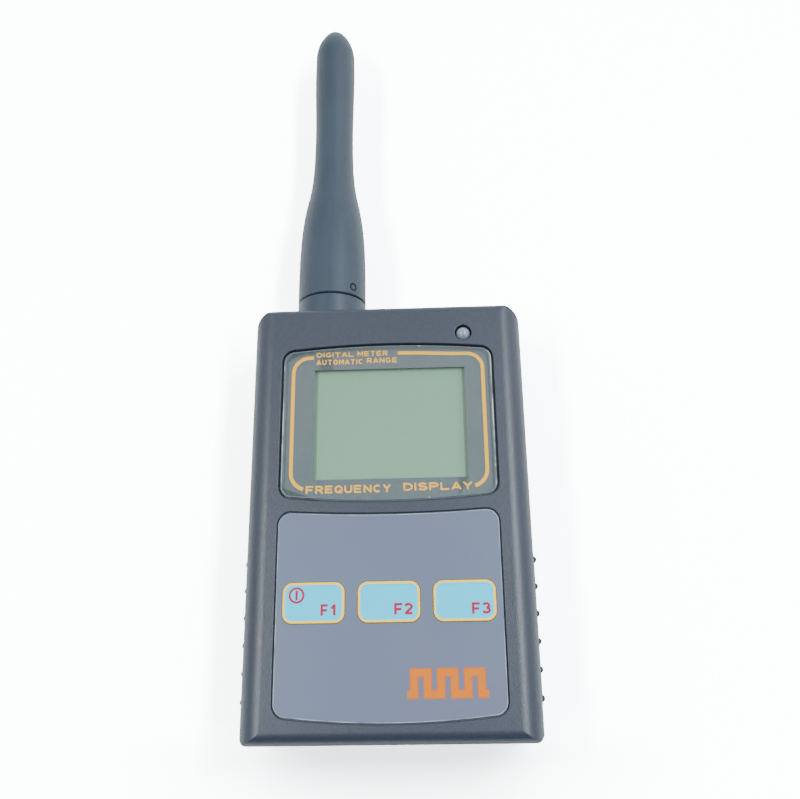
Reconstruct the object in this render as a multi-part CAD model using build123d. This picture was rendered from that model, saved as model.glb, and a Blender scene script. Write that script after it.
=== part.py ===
from build123d import *
import os
from math import atan2, cos, degrees, sin

# A handheld frequency counter that lies on its back. Millimetres.
# The origin is the centre of the case's flat back, +Z comes out of the display,
# +Y runs along the antenna and +X is to the right of the display.

# ---- Driving dimensions: case ----
CASE_WIDTH = 71.0
CASE_LENGTH = 110.0
CASE_DEPTH = 28.0
WALL = 2.0
FRONT_PLATE = 2.5
PARTING_Z = CASE_DEPTH / 2        # the two shells meet at the height of the antenna's axis
TOP_CORNER_ACROSS = 12.0          # half axes of the elliptical corners beside the antenna
TOP_CORNER_DOWN = 5.5
BOTTOM_CORNER = 2.6
SIDE_ROUND = 5.5                  # round of the two long front edges
TOP_END_ROUND = 2.0
TOP_END_LEAN = 1.05               # how far the front shell's top end leans in at the front
BOTTOM_END_ROUND = 3.0
BACK_ROUND = 1.6
LIP_HEIGHT = 1.2                  # tongue of the rear shell inside the front shell
LIP_GAP = 0.05
SHADOW_DEPTH = 0.4                # groove along the joint between the shells
SHADOW_HEIGHT = 0.3
SEAT_ROUND = 0.25                 # softened rims of the seats in the front face

HALF_WIDTH = CASE_WIDTH / 2
HALF_LENGTH = CASE_LENGTH / 2
PLATE_UNDER = CASE_DEPTH - FRONT_PLATE
FLOOR_TOP = WALL

# ---- Window lens and liquid crystal display ----
LENS_X = 0.13
LENS_WIDTH = 54.5
LENS_TOP_CORNER_Y = 41.5
LENS_TOP_MID_Y = 43.0
LENS_BOTTOM_CORNER_Y = 2.9
LENS_BOTTOM_MID_Y = 1.4
LENS_CORNER = 3.0
LENS_THICK = 1.2
LENS_BELOW_FACE = 0.25
LENS_GAP = 0.33                   # all round the lens
MASK_THICK = 0.15
VIEW_WIDTH = 39.2                 # clear window in the mask
VIEW_LENGTH = 29.5
VIEW_Y = 22.0
VIEW_X = 0.6                      # the mask's window sits a little right of the middle
GLASS_WIDTH = 44.0
GLASS_LENGTH = 34.0

# ---- Keypad ----
LABEL_WIDTH = 54.2
LABEL_TOP_CORNER_Y = -1.1
LABEL_TOP_MID_Y = -2.1
LABEL_BOTTOM_CORNER_Y = -48.4
LABEL_BOTTOM_MID_Y = -50.2
LABEL_CORNER = 3.0
LABEL_THICK = 0.5
LABEL_BELOW_FACE = 0.15
LABEL_GAP = 0.35
KEY_WIDTH = 14.9
KEY_LENGTH = 9.6
KEY_CORNER = 2.4
KEY_PITCH = 18.05
KEY_Y = -23.1
KEY_HEIGHT = 0.25                 # a key's crown above the label
KEY_GAP = 0.12
KEY_TRAVEL = 0.25
PLUNGER_RADIUS = 2.5

# ---- Side grips ----
GRIP_RIBS = 6
GRIP_PITCH = 6.56
GRIP_MIDDLE_Y = -29.0
GRIP_LENGTH = 37.0
GRIP_LOW_Z = 4.5
GRIP_HIGH_Z = 21.5
GRIP_RECESS = 0.5
GRIP_PROUD = 0.3
RIB_RADIUS = 0.8

# ---- Circuit board ----
BOARD_BOTTOM = 14.7
BOARD_THICK = 1.6
BOARD_TOP = BOARD_BOTTOM + BOARD_THICK
BOARD_HALF_WIDTH = 31.0
BOARD_BOTTOM_Y = -43.0
BOARD_TOP_Y = 40.0
LIGHT_TONGUE = (-7.2, 24.0, 39.5, 49.5)       # x low, x high, y low, y high
SOCKET_TONGUE = (-20.0, 20.0, -52.4, -42.4)
JACK_TONGUE = (-20.7, -11.7, 37.0, 46.0)
SWITCH_SIZE = 6.0
SWITCH_HEIGHT = 3.6
LED_X = 20.2
LED_Y = 45.9
LED_LEAD_OFFSET = 1.27

# ---- Screws ----
PILLAR_X = 28.6
PILLAR_TOP_Y = 46.2
PILLAR_BOTTOM_Y = -48.2
PILLAR_RADIUS = 3.7
CASE_SCREW = 2.6                  # thread diameter
CASE_SCREW_LENGTH = 16.0
CASE_SCREW_SEAT_Z = 3.4
BOARD_SCREW = 2.0
BOARD_SCREW_X = 27.6
BOARD_SCREW_YS = (-38.0, 35.0)

# ---- Antenna and its bayonet socket ----
ANTENNA_X = -16.2
ANTENNA_Z = PARTING_Z
COLLAR_RADIUS = 9.6
COLLAR_BORE = 7.8
COLLAR_END_Y = 60.9
COLLAR_NECK = 8.6
COLLAR_SEAT = 1.0                 # how deep the collar sits in the case's end wall
WEB_BACK_Y = 51.4
WEB_FRONT_Y = 53.4
SEAM = 0.25                       # gap between the collar and the rubber sleeve
SLEEVE_START_Y = COLLAR_END_Y + SEAM
DOME_START_Y = 147.0
TIP_Y = 157.4
DOME_RADIUS = 6.05
DOME_SIDE_ROUND = 14.0
BARREL_RADIUS = 4.85              # bayonet barrel of the socket
BARREL_END_Y = 66.4
LUG_RADIUS = 1.0
LUG_REACH = 5.5
LUG_Y = BARREL_END_Y - 5.2
TURN_RANGE = 90.0                 # quarter turn of the bayonet
RING_RADIUS = 7.1
RING_BORE = 4.95
RING_START_Y = 57.2
RING_END_Y = 70.0
TAIL_RADIUS = 4.75                # threaded tail of the socket
SOCKET_BACK_Y = 46.0
FERRULE_RADIUS = 3.97
FLANGE_Y = 66.9                   # the plug's flange, which the spring washer bears on
FLANGE_END_Y = 68.4
SHANK_END_Y = 78.0
PLUG_BORE = 3.4
SOCKET_BORE = 4.05
PIN_RADIUS = 0.65

# ---- Charging socket in the bottom end ----
CHARGE_X = 0.0
CHARGE_Z = BOARD_TOP + 3.0
CHARGE_BORE = 1.85
CHARGE_NOSE = 2.8
CHARGE_DEPTH = 9.5
CHARGE_TAIL_XS = (CHARGE_X - 2, CHARGE_X + 2)
CHARGE_TAIL_Y = -43.2

# ---- Battery ----
BATTERY_WIDTH = 34.0
BATTERY_LENGTH = 50.0
BATTERY_THICK = 6.0
BATTERY_Y = -10.0
PAD_THICK = 0.8

# The antenna's frame: local Z runs along the antenna, and its origin is level with
# the case's centre, so that a local height is a Y position in the row's frame.
ANTENNA_FRAME = Plane(origin=(ANTENNA_X, 0, ANTENNA_Z), x_dir=(1, 0, 0), z_dir=(0, 1, 0))
KEY_NAMES = ("f1", "f2", "f3")
KEY_XS = (-KEY_PITCH, 0.0, KEY_PITCH)


# ---- Helpers ----
def box(x_low, x_high, y_low, y_high, z_low, z_high):
    """A box between two limits on each axis."""
    size = (x_high - x_low, y_high - y_low, z_high - z_low)
    centre = ((x_low + x_high) / 2, (y_low + y_high) / 2, (z_low + z_high) / 2)
    return Pos(*centre) * Box(*size)


def post(x, y, radius, z_low, z_high):
    """An upright round post, or the hole for one."""
    return Pos(x, y, (z_low + z_high) / 2) * Cylinder(radius, z_high - z_low)


def tube(outer, inner, low, high):
    """A tube on the local Z axis between two heights."""
    height = high - low
    shape = Cylinder(outer, height)
    if inner > 0:
        shape -= Cylinder(inner, height)
    return Pos(0, 0, (low + high) / 2) * shape


def on_antenna(shape):
    """Moves a shape from the antenna's local frame to its place."""
    return ANTENNA_FRAME.location * shape


def slab(sketch, z_low, z_high):
    """A flat outline extruded between two heights."""
    return extrude(Pos(0, 0, z_low) * sketch, z_high - z_low)


def corner_posts(radius, z_low, z_high):
    """One post at each of the four case screws."""
    places = [(x, y) for x in (-PILLAR_X, PILLAR_X) for y in (PILLAR_BOTTOM_Y, PILLAR_TOP_Y)]
    return [post(x, y, radius, z_low, z_high) for x, y in places]


def board_posts(radius, z_low, z_high):
    """One post at each of the four board screws."""
    places = [(x, y) for x in (-BOARD_SCREW_X, BOARD_SCREW_X) for y in BOARD_SCREW_YS]
    return [post(x, y, radius, z_low, z_high) for x, y in places]


def save(name, solids):
    """Writes one node's solids to its own file."""
    shape = Compound(children=list(solids)) if isinstance(solids, list) else solids
    shape.label = name
    export_step(shape, f"parts/{name}.step")


# ---- Outlines ----
def case_plan(inset):
    """The case's outline seen from the front, moved inwards by inset."""
    plan = Rectangle(CASE_WIDTH - 2 * inset, CASE_LENGTH - 2 * inset)
    across, down = TOP_CORNER_ACROSS - inset, TOP_CORNER_DOWN - inset
    for side in (-1, 1):
        x, y = side * (HALF_WIDTH - TOP_CORNER_ACROSS), HALF_LENGTH - TOP_CORNER_DOWN
        corner = Pos(x + side * across / 2, y + down / 2) * Rectangle(across, down)
        plan -= corner - Pos(x, y) * Ellipse(across, down)
    lower = plan.vertices().filter_by(lambda v: v.Y < -HALF_LENGTH + inset + 0.01)
    return fillet(lower, max(BOTTOM_CORNER - inset, 0.8))


def profile(length, low, high, left_round, right_round, back_round, lean=0.0):
    """A case section on its local X and Y, with its front corners rounded separately.

    Its right side leans inwards by lean over its front half.
    """
    middle = (low + high) / 2
    half = length / 2
    shape = Pos(0, middle) * Rectangle(length, high - low)
    if lean:
        wedge = Polyline((half, middle), (half - lean, high), (half, high), close=True)
        shape -= make_face(wedge)
    front_left = shape.vertices().filter_by(lambda v: v.Y > middle and v.X < 0)
    shape = fillet(front_left, left_round)
    front_right = shape.vertices().sort_by(lambda v: v.X + v.Y)[-1]
    shape = fillet(front_right, right_round)
    back = shape.vertices().filter_by(lambda v: abs(v.Y - low) < 0.01)
    return fillet(back, back_round)


def case_block(inset, low, high):
    """The solid that the plan, the end view and the side view have in common."""
    side = max(SIDE_ROUND - inset, 0.5)
    back = max(BACK_ROUND - inset, 0.5)
    # The plan reaches past both faces, so that no two faces coincide.
    plan = slab(case_plan(inset), low - 1, high + 1)
    ends = profile(CASE_WIDTH - 2 * inset, low, high, side, side, back)
    sides = profile(
        CASE_LENGTH - 2 * inset,
        low,
        high,
        max(BOTTOM_END_ROUND - inset, 0.5),
        max(TOP_END_ROUND - inset, 0.5),
        back,
        lean=0 if inset else TOP_END_LEAN,
    )
    block = extrude(Plane.XZ * ends, CASE_LENGTH, both=True)
    block &= extrude(Plane.YZ * sides, CASE_WIDTH, both=True)
    return block & plan


def bowed_outline(width, top_corner, top_middle, bottom_corner, bottom_middle, radius, grow=0.0):
    """A panel with straight sides, bowed ends and rounded corners, grown by grow all round."""
    half = width / 2 + grow
    up = (half, top_corner + grow)
    down = (half, bottom_corner - grow)
    edges = [
        ThreePointArc((-half, top_corner + grow), (0, top_middle + grow), up),
        Line(up, down),
        ThreePointArc(down, (0, bottom_middle - grow), (-half, bottom_corner - grow)),
        Line((-half, bottom_corner - grow), (-half, top_corner + grow)),
    ]
    outline = make_face(edges)
    return fillet(outline.vertices(), radius + grow)


def lens_outline(grow=0.0):
    return Pos(LENS_X, 0) * bowed_outline(
        LENS_WIDTH,
        LENS_TOP_CORNER_Y,
        LENS_TOP_MID_Y,
        LENS_BOTTOM_CORNER_Y,
        LENS_BOTTOM_MID_Y,
        LENS_CORNER,
        grow,
    )


def label_outline(grow=0.0):
    return bowed_outline(
        LABEL_WIDTH,
        LABEL_TOP_CORNER_Y,
        LABEL_TOP_MID_Y,
        LABEL_BOTTOM_CORNER_Y,
        LABEL_BOTTOM_MID_Y,
        LABEL_CORNER,
        grow,
    )


def key_outline(grow=0.0):
    return RectangleRounded(KEY_WIDTH + 2 * grow, KEY_LENGTH + 2 * grow, KEY_CORNER + grow)


# ---- Case shells ----
LENS_TOP = CASE_DEPTH - LENS_BELOW_FACE
LENS_UNDER = LENS_TOP - LENS_THICK
MASK_UNDER = LENS_UNDER - MASK_THICK
LABEL_TOP = CASE_DEPTH - LABEL_BELOW_FACE
LABEL_UNDER = LABEL_TOP - LABEL_THICK
KEY_POCKET_Z = LABEL_UNDER - KEY_TRAVEL - 0.15
LED_HOLE = 2.15


def grip_block(side, inner_x, outer_x, shrink=0.0):
    """A flat block on one side of the case with the grip's outline."""
    width = GRIP_LENGTH - 2 * shrink
    height = GRIP_HIGH_Z - GRIP_LOW_Z - 2 * shrink
    outline = RectangleRounded(width, height, 2.0)
    middle_z = (GRIP_LOW_Z + GRIP_HIGH_Z) / 2
    block = extrude(Plane.YZ * Pos(GRIP_MIDDLE_Y, middle_z) * outline, outer_x - inner_x)
    return Pos(inner_x if side > 0 else -outer_x, 0, 0) * block


def case_openings():
    """What both shells give up to the grips and the antenna's collar."""
    recesses = [grip_block(s, HALF_WIDTH - GRIP_RECESS, HALF_WIDTH + 2) for s in (-1, 1)]
    neck_hole = on_antenna(tube(COLLAR_NECK + 0.1, 0, HALF_LENGTH - 4, HALF_LENGTH + 2))
    seat = tube(COLLAR_RADIUS + 0.08, 0, HALF_LENGTH - COLLAR_SEAT, HALF_LENGTH + 2)
    return [*recesses, neck_hole, on_antenna(seat)]


def front_recesses():
    """The seats in the front face for the lens, the label and the three keys."""
    lens_seat = slab(lens_outline(LENS_GAP), MASK_UNDER, CASE_DEPTH + 1)
    label_seat = slab(label_outline(LABEL_GAP), LABEL_UNDER, CASE_DEPTH + 1)
    pockets = [Pos(x, KEY_Y, 0) * slab(key_outline(0.3), KEY_POCKET_Z, CASE_DEPTH) for x in KEY_XS]
    return [lens_seat, label_seat, *pockets]


def front_holes():
    """The openings right through the front face."""
    view = box(
        VIEW_X - VIEW_WIDTH / 2 - 1,
        VIEW_X + VIEW_WIDTH / 2 + 1,
        VIEW_Y - VIEW_LENGTH / 2 - 1,
        VIEW_Y + VIEW_LENGTH / 2 + 1,
        PLATE_UNDER - 1,
        CASE_DEPTH,
    )
    plungers = [post(x, KEY_Y, PLUNGER_RADIUS + 0.5, PLATE_UNDER - 1, CASE_DEPTH) for x in KEY_XS]
    led = post(LED_X, LED_Y, LED_HOLE, PLATE_UNDER - 1, CASE_DEPTH + 1)
    charge = Pos(CHARGE_X, -HALF_LENGTH, CHARGE_Z) * Rot(90, 0, 0) * Cylinder(CHARGE_NOSE + 0.2, 6)
    return [view, *plungers, led, charge]


def seat_rims(shell):
    """The front face's edges round the lens, the label and the light."""
    face_edges = shell.edges().filter_by(lambda e: abs(e.center().Z - CASE_DEPTH) < 0.01)
    limit_x = HALF_WIDTH - SIDE_ROUND - 0.5
    return face_edges.filter_by(lambda e: abs(e.center().X) < limit_x and abs(e.center().Y) < 51)


def front_case():
    shell = case_block(0, 0, CASE_DEPTH) - case_block(WALL, FLOOR_TOP, PLATE_UNDER)
    groove = case_plan(WALL / 2) - case_plan(WALL + 0.5)
    shell -= box(-40, 40, -60, 60, -1, PARTING_Z)
    shell -= slab(groove, PARTING_Z, PARTING_Z + LIP_HEIGHT + 0.15)
    for seat in front_recesses():
        shell -= seat
    bosses = corner_posts(PILLAR_RADIUS - 0.5, PARTING_Z + 0.05, PLATE_UNDER + 0.5)
    standoffs = board_posts(2.4, BOARD_TOP, PLATE_UNDER + 0.5)
    inside = case_block(WALL / 2, FLOOR_TOP, PLATE_UNDER + 0.6)
    for support in bosses + standoffs:
        shell += support & inside
    for hole in front_holes() + case_openings():
        shell -= hole
    shell = fillet(seat_rims(shell), SEAT_ROUND)
    shell -= slab(case_plan(-1) - case_plan(SHADOW_DEPTH), PARTING_Z, PARTING_Z + SHADOW_HEIGHT)
    screw_tip = CASE_SCREW_SEAT_Z + CASE_SCREW_LENGTH
    for pilot in corner_posts(CASE_SCREW / 2, PARTING_Z - 1, screw_tip + 1):
        shell -= pilot
    for pilot in board_posts(BOARD_SCREW / 2, BOARD_TOP - 1, BOARD_TOP + 5.5):
        shell -= pilot
    return shell


LABEL_PLATE_Y = 24.0
LABEL_PLATE_WIDTH = 42.0
LABEL_PLATE_LENGTH = 26.0
LABEL_PLATE_DEPTH = 0.3


def battery_fence():
    """A low rib round the battery on the rear shell's floor."""
    half_width = BATTERY_WIDTH / 2 + 0.4
    half_length = BATTERY_LENGTH / 2 + 0.4
    outer = Rectangle(2 * half_width + 2.4, 2 * half_length + 2.4)
    inner = Rectangle(2 * half_width, 2 * half_length)
    gap = Pos(0, half_length) * Rectangle(12, 8)
    return Pos(0, BATTERY_Y, 0) * slab(outer - inner - gap, FLOOR_TOP - 0.5, FLOOR_TOP + 4.0)


def rear_case():
    shell = case_block(0, 0, CASE_DEPTH) - case_block(WALL, FLOOR_TOP, PLATE_UNDER)
    shell -= box(-40, 40, -60, 60, PARTING_Z, CASE_DEPTH + 1)
    lip = case_plan(WALL / 2 + LIP_GAP) - case_plan(WALL)
    shell += slab(lip, PARTING_Z, PARTING_Z + LIP_HEIGHT)
    inside = case_block(WALL / 2, FLOOR_TOP - 0.5, PARTING_Z + 5)
    for pillar in corner_posts(PILLAR_RADIUS, FLOOR_TOP - 0.4, PARTING_Z):
        shell += pillar & inside
    shell += battery_fence()
    for hole in case_openings():
        shell -= hole
    for sink in corner_posts(CASE_SCREW + 0.1, -1, CASE_SCREW_SEAT_Z):
        shell -= sink
    for shank in corner_posts(CASE_SCREW / 2 + 0.2, CASE_SCREW_SEAT_Z - 1, PARTING_Z + 1):
        shell -= shank
    plate = Pos(0, LABEL_PLATE_Y) * RectangleRounded(
        LABEL_PLATE_WIDTH + 0.6, LABEL_PLATE_LENGTH + 0.6, 1.8
    )
    return shell - slab(plate, -1, LABEL_PLATE_DEPTH)


def rating_label():
    plate = Pos(0, LABEL_PLATE_Y) * RectangleRounded(LABEL_PLATE_WIDTH, LABEL_PLATE_LENGTH, 1.5)
    return slab(plate, 0.08, LABEL_PLATE_DEPTH)


def side_grip(side):
    """A rubber pad let into one side of the case, with upright half-round ribs."""
    inner_x = HALF_WIDTH - GRIP_RECESS
    face_x = HALF_WIDTH + GRIP_PROUD
    pad = grip_block(side, inner_x, face_x, shrink=0.1)
    outer = pad.faces().sort_by(Axis.X)[-1 if side > 0 else 0]
    pad = fillet(outer.edges(), 0.3)
    first = GRIP_MIDDLE_Y - GRIP_PITCH * (GRIP_RIBS - 1) / 2
    low, high = GRIP_LOW_Z + 2.2, GRIP_HIGH_Z - 2.2
    for rib in range(GRIP_RIBS):
        y = first + rib * GRIP_PITCH
        pad += post(side * face_x, y, RIB_RADIUS, low, high)
        for z in (low, high):
            pad += Pos(side * face_x, y, z) * Sphere(RIB_RADIUS)
    keep = box(inner_x, HALF_WIDTH + 3, -60, 0, 0, CASE_DEPTH)
    return pad & (keep if side > 0 else mirror(keep, Plane.YZ))


# ---- Screws ----
def cross_recess(size, depth):
    """The cross cut in a screw head, cut upwards from height 0."""
    bars = Box(size, size / 4, depth) + Box(size / 4, size, depth)
    return Pos(0, 0, depth / 2) * bars


def screw(thread, length, head_radius, head_height):
    """A pan-head screw that points up, with its head below height 0."""
    head = Pos(0, 0, -head_height / 2) * Cylinder(head_radius, head_height)
    head = fillet(head.edges().group_by(Axis.Z)[0], head_height * 0.45)
    shank = Pos(0, 0, length / 2) * Cylinder(thread / 2, length)
    shank = chamfer(shank.edges().group_by(Axis.Z)[-1], thread * 0.3)
    cut = Pos(0, 0, -head_height) * cross_recess(head_radius * 1.1, head_height * 0.6)
    return head + shank - cut


def case_screws():
    one = screw(CASE_SCREW, CASE_SCREW_LENGTH, 2.5, 1.7)
    places = [(x, y) for x in (-PILLAR_X, PILLAR_X) for y in (PILLAR_BOTTOM_Y, PILLAR_TOP_Y)]
    return [Pos(x, y, CASE_SCREW_SEAT_Z) * one for x, y in places]


def board_screws():
    one = screw(BOARD_SCREW, 6.0, 1.9, 1.3)
    places = [(x, y) for x in (-BOARD_SCREW_X, BOARD_SCREW_X) for y in BOARD_SCREW_YS]
    return [Pos(x, y, BOARD_BOTTOM) * one for x, y in places]


# ---- Front face ----
def window_lens():
    lens = slab(lens_outline(), LENS_UNDER, LENS_TOP)
    return chamfer(lens.edges().group_by(Axis.Z)[-1], 0.25)


def lens_mask():
    """The printed, adhesive border that holds the lens in its seat."""
    window = Pos(VIEW_X, VIEW_Y) * Rectangle(VIEW_WIDTH, VIEW_LENGTH)
    return slab(lens_outline() - window, MASK_UNDER, LENS_UNDER)


def keypad_overlay():
    film = slab(label_outline(), LABEL_UNDER, LABEL_TOP)
    for x in KEY_XS:
        film -= Pos(x, KEY_Y, 0) * slab(key_outline(KEY_GAP), LABEL_UNDER - 1, LABEL_TOP + 1)
    return film


STEM_TOP = BOARD_TOP + 5.2
STEM_RADIUS = 1.7


def key(x):
    """One key: a crowned pad with a plunger that reaches its switch."""
    pad = slab(key_outline(), LABEL_UNDER, LABEL_TOP + KEY_HEIGHT)
    pad = fillet(pad.edges().group_by(Axis.Z)[-1], KEY_HEIGHT * 0.9)
    plunger = Pos(0, 0, (STEM_TOP + LABEL_UNDER) / 2)
    plunger *= Cylinder(PLUNGER_RADIUS, LABEL_UNDER - STEM_TOP)
    return Pos(x, KEY_Y, 0) * (pad + plunger)


def switch_stem(x):
    shaft = post(x, KEY_Y, STEM_RADIUS, BOARD_TOP + 2.4, STEM_TOP)
    flange = post(x, KEY_Y, STEM_RADIUS + 0.4, BOARD_TOP + 1.8, BOARD_TOP + 2.4)
    return shaft + flange


def switch_bodies():
    bodies = []
    half = SWITCH_SIZE / 2
    for x in KEY_XS:
        body = box(x - half, x + half, KEY_Y - half, KEY_Y + half, BOARD_TOP, BOARD_TOP + SWITCH_HEIGHT)
        body -= post(x, KEY_Y, STEM_RADIUS + 0.15, BOARD_TOP + 2, BOARD_TOP + SWITCH_HEIGHT + 1)
        body -= post(x, KEY_Y, STEM_RADIUS + 0.7, BOARD_TOP + 0.6, BOARD_TOP + 2.8)
        bodies.append(body)
    return bodies


def switch_domes():
    """The snap domes under the stems, each a shallow dished disc."""
    domes = []
    for x in KEY_XS:
        dish = post(x, KEY_Y, 2.2, BOARD_TOP + 0.65, BOARD_TOP + 0.85)
        bump = post(x, KEY_Y, 1.1, BOARD_TOP + 0.85, BOARD_TOP + 1.3)
        domes.append(dish + bump)
    return domes


# ---- Status light ----
LED_RADIUS = 1.9
LED_TOP = CASE_DEPTH + 0.5
LED_HEIGHT = 5.3


def status_led():
    dome_z = LED_TOP - LED_RADIUS
    base_z = LED_TOP - LED_HEIGHT
    body = post(LED_X, LED_Y, LED_RADIUS, base_z, dome_z)
    body += Pos(LED_X, LED_Y, dome_z) * Sphere(LED_RADIUS)
    return body + post(LED_X, LED_Y, LED_RADIUS + 0.4, base_z, base_z + 1.0)


def led_leads():
    base_z = LED_TOP - LED_HEIGHT
    return [
        box(x - 0.25, x + 0.25, LED_Y - 0.25, LED_Y + 0.25, BOARD_BOTTOM - 0.8, base_z)
        for x in (LED_X - LED_LEAD_OFFSET, LED_X + LED_LEAD_OFFSET)
    ]


# ---- Circuit board and display ----
FRAME_HALF_X = GLASS_WIDTH / 2 + 1.6
FRAME_HALF_Y = GLASS_LENGTH / 2 + 1.6
FRAME_WALL = 1.4
LEDGE_X = 2.0                     # how far the frame's ledge reaches under the glass
LEDGE_Y = 4.0
GUIDE_HALF_X = 20.5
GUIDE_HALF_Y = 14.0
GUIDE_THICK = 2.7
STRIP_HALF_X = 20.0
STRIP_HALF_Y = 0.9
GLASS_Z = PLATE_UNDER - 2.7
GLASS_THICK = 2.2


def main_board():
    """The board, with tongues to the light, the charging socket and the antenna's socket."""
    half = BOARD_HALF_WIDTH
    board = box(-half, half, BOARD_BOTTOM_Y, BOARD_TOP_Y, BOARD_BOTTOM, BOARD_TOP)
    for tongue in (LIGHT_TONGUE, SOCKET_TONGUE, JACK_TONGUE):
        board += box(*tongue, BOARD_BOTTOM, BOARD_TOP)
    for hole in board_posts(BOARD_SCREW / 2 + 0.1, BOARD_BOTTOM - 1, BOARD_TOP + 1):
        board -= hole
    for x in (LED_X - LED_LEAD_OFFSET, LED_X + LED_LEAD_OFFSET):
        board -= post(x, LED_Y, 0.45, BOARD_BOTTOM - 1, BOARD_TOP + 1)
    for x in CHARGE_TAIL_XS:
        board -= post(x, CHARGE_TAIL_Y, 0.9, BOARD_BOTTOM - 1, BOARD_TOP + 1)
    return board


def lcd_frame():
    """The moulded frame that holds the light guide and the glass over the board."""
    frame = box(
        -FRAME_HALF_X,
        FRAME_HALF_X,
        VIEW_Y - FRAME_HALF_Y,
        VIEW_Y + FRAME_HALF_Y,
        BOARD_TOP,
        GLASS_Z + GLASS_THICK,
    )
    inner_x = FRAME_HALF_X - FRAME_WALL
    inner_y = FRAME_HALF_Y - FRAME_WALL
    hollow = box(-inner_x, inner_x, VIEW_Y - inner_y, VIEW_Y + inner_y, BOARD_TOP - 1, GLASS_Z + 5)
    ledge = box(-inner_x, inner_x, VIEW_Y - inner_y, VIEW_Y + inner_y, BOARD_TOP + 3, GLASS_Z - 2.9)
    hole_x, hole_y = inner_x - LEDGE_X, inner_y - LEDGE_Y
    shelf_hole = box(-hole_x, hole_x, VIEW_Y - hole_y, VIEW_Y + hole_y, 0, CASE_DEPTH)
    for strip in zebra_strips(gap=0.1):
        ledge -= strip
    return frame - hollow + (ledge - shelf_hole)


def lcd_backlight():
    top = GLASS_Z - 0.1
    guide = box(
        -GUIDE_HALF_X, GUIDE_HALF_X, VIEW_Y - GUIDE_HALF_Y, VIEW_Y + GUIDE_HALF_Y, top - GUIDE_THICK, top
    )
    return chamfer(guide.edges().group_by(Axis.Z)[-1], 0.3)


def lcd_glass():
    """Two bonded glass plates, the rear one longer to carry the contact edge."""
    half_x = GLASS_WIDTH / 2
    half_y = GLASS_LENGTH / 2
    rear = box(-half_x, half_x, VIEW_Y - half_y, VIEW_Y + half_y, GLASS_Z, GLASS_Z + 1.1)
    front = box(
        -half_x, half_x, VIEW_Y - half_y + 2, VIEW_Y + half_y, GLASS_Z + 1.1, GLASS_Z + GLASS_THICK
    )
    return rear + front


def lcd_polarizer():
    z = GLASS_Z + GLASS_THICK
    half_x = GLASS_WIDTH / 2 - 1
    return box(-half_x, half_x, VIEW_Y - 15.4, VIEW_Y + 15.8, z, z + 0.2)


def zebra_strips(gap=0.0):
    """The rubber contact strips between the board and the glass, or the slots for them."""
    half_x, half_y = STRIP_HALF_X + gap, STRIP_HALF_Y + gap
    strips = []
    for side in (-1, 1):
        y = VIEW_Y + side * (GLASS_LENGTH / 2 - 1.2)
        strips.append(box(-half_x, half_x, y - half_y, y + half_y, BOARD_TOP, GLASS_Z))
    return strips


# ---- Parts on the board ----
CONTROLLER_PLACE = (14, 26)
PRESCALER_PLACE = (-13, 27)
REGULATOR_PLACE = (24, -22)
OSCILLATOR_PLACE = (15, 12)
CAPACITOR_PLACES = ((22.5, -28.5), (22.5, -35))
SHIELD = (-22, -4, 17, 36)        # x low, x high, y low, y high
SHIELD_HEIGHT = 3.2
SHEET = 0.3                       # thickness of the shield's sheet metal
COMPONENT_ROWS = (30.5, 27.5, 21.5, 18.5)
COMPONENT_COLUMNS = 4
COMPONENT_PITCH = 2.2
COMPONENT_FIRST_XS = (22.5, 21.5) # of the even rows, and of the odd ones


def chip(x, y, width, length, height, pins_x, pins_y, below=True):
    """A packaged chip with a row of legs on each side that has any."""
    sign = -1 if below else 1
    face = BOARD_BOTTOM if below else BOARD_TOP
    low, high = sorted((face + sign * 0.15, face + sign * (0.15 + height)))
    body = box(x - width / 2, x + width / 2, y - length / 2, y + length / 2, low, high)
    leg_low, leg_high = sorted((face, face + sign * (height / 2 + 0.15)))
    for count, span, along_x in ((pins_y, length, False), (pins_x, width, True)):
        for index in range(count):
            place = (index + 0.5) / count * span - span / 2
            for side in (-1, 1):
                reach = side * ((length if along_x else width) / 2 + 0.35)
                leg_x = x + (place if along_x else reach)
                leg_y = y + (reach if along_x else place)
                half = (0.14, 0.45) if along_x else (0.45, 0.14)
                body += box(
                    leg_x - half[0], leg_x + half[0], leg_y - half[1], leg_y + half[1], leg_low, leg_high
                )
    return body


def controller_chip():
    return chip(*CONTROLLER_PLACE, 10, 10, 1.4, 10, 10)


def prescaler_chip():
    return chip(*PRESCALER_PLACE, 4, 5, 1.5, 0, 4)


def voltage_regulator():
    return chip(*REGULATOR_PLACE, 4.5, 2.5, 1.5, 3, 0)


def rf_shield():
    """A folded sheet-metal can over the input stage."""
    x_low, x_high, y_low, y_high = SHIELD
    under = BOARD_BOTTOM - SHIELD_HEIGHT
    can = box(x_low, x_high, y_low, y_high, under, BOARD_BOTTOM)
    return can - box(
        x_low + SHEET, x_high - SHEET, y_low + SHEET, y_high - SHEET, under + SHEET, BOARD_BOTTOM + 1
    )


def crystal_oscillator():
    can = Pos(*OSCILLATOR_PLACE, BOARD_BOTTOM - 1.8) * Box(11.0, 4.6, 3.6)
    return fillet(can.edges().filter_by(Axis.Z), 2.2)


def capacitors():
    """Two electrolytic cans with their square bases."""
    cans = []
    for x, y in CAPACITOR_PLACES:
        base = box(x - 2.6, x + 2.6, y - 2.6, y + 2.6, BOARD_BOTTOM - 0.8, BOARD_BOTTOM)
        can = post(x, y, 2.4, BOARD_BOTTOM - 5.4, BOARD_BOTTOM - 0.8)
        cans.append(base + fillet(can.edges().group_by(Axis.Z)[0], 0.5))
    return cans


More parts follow.
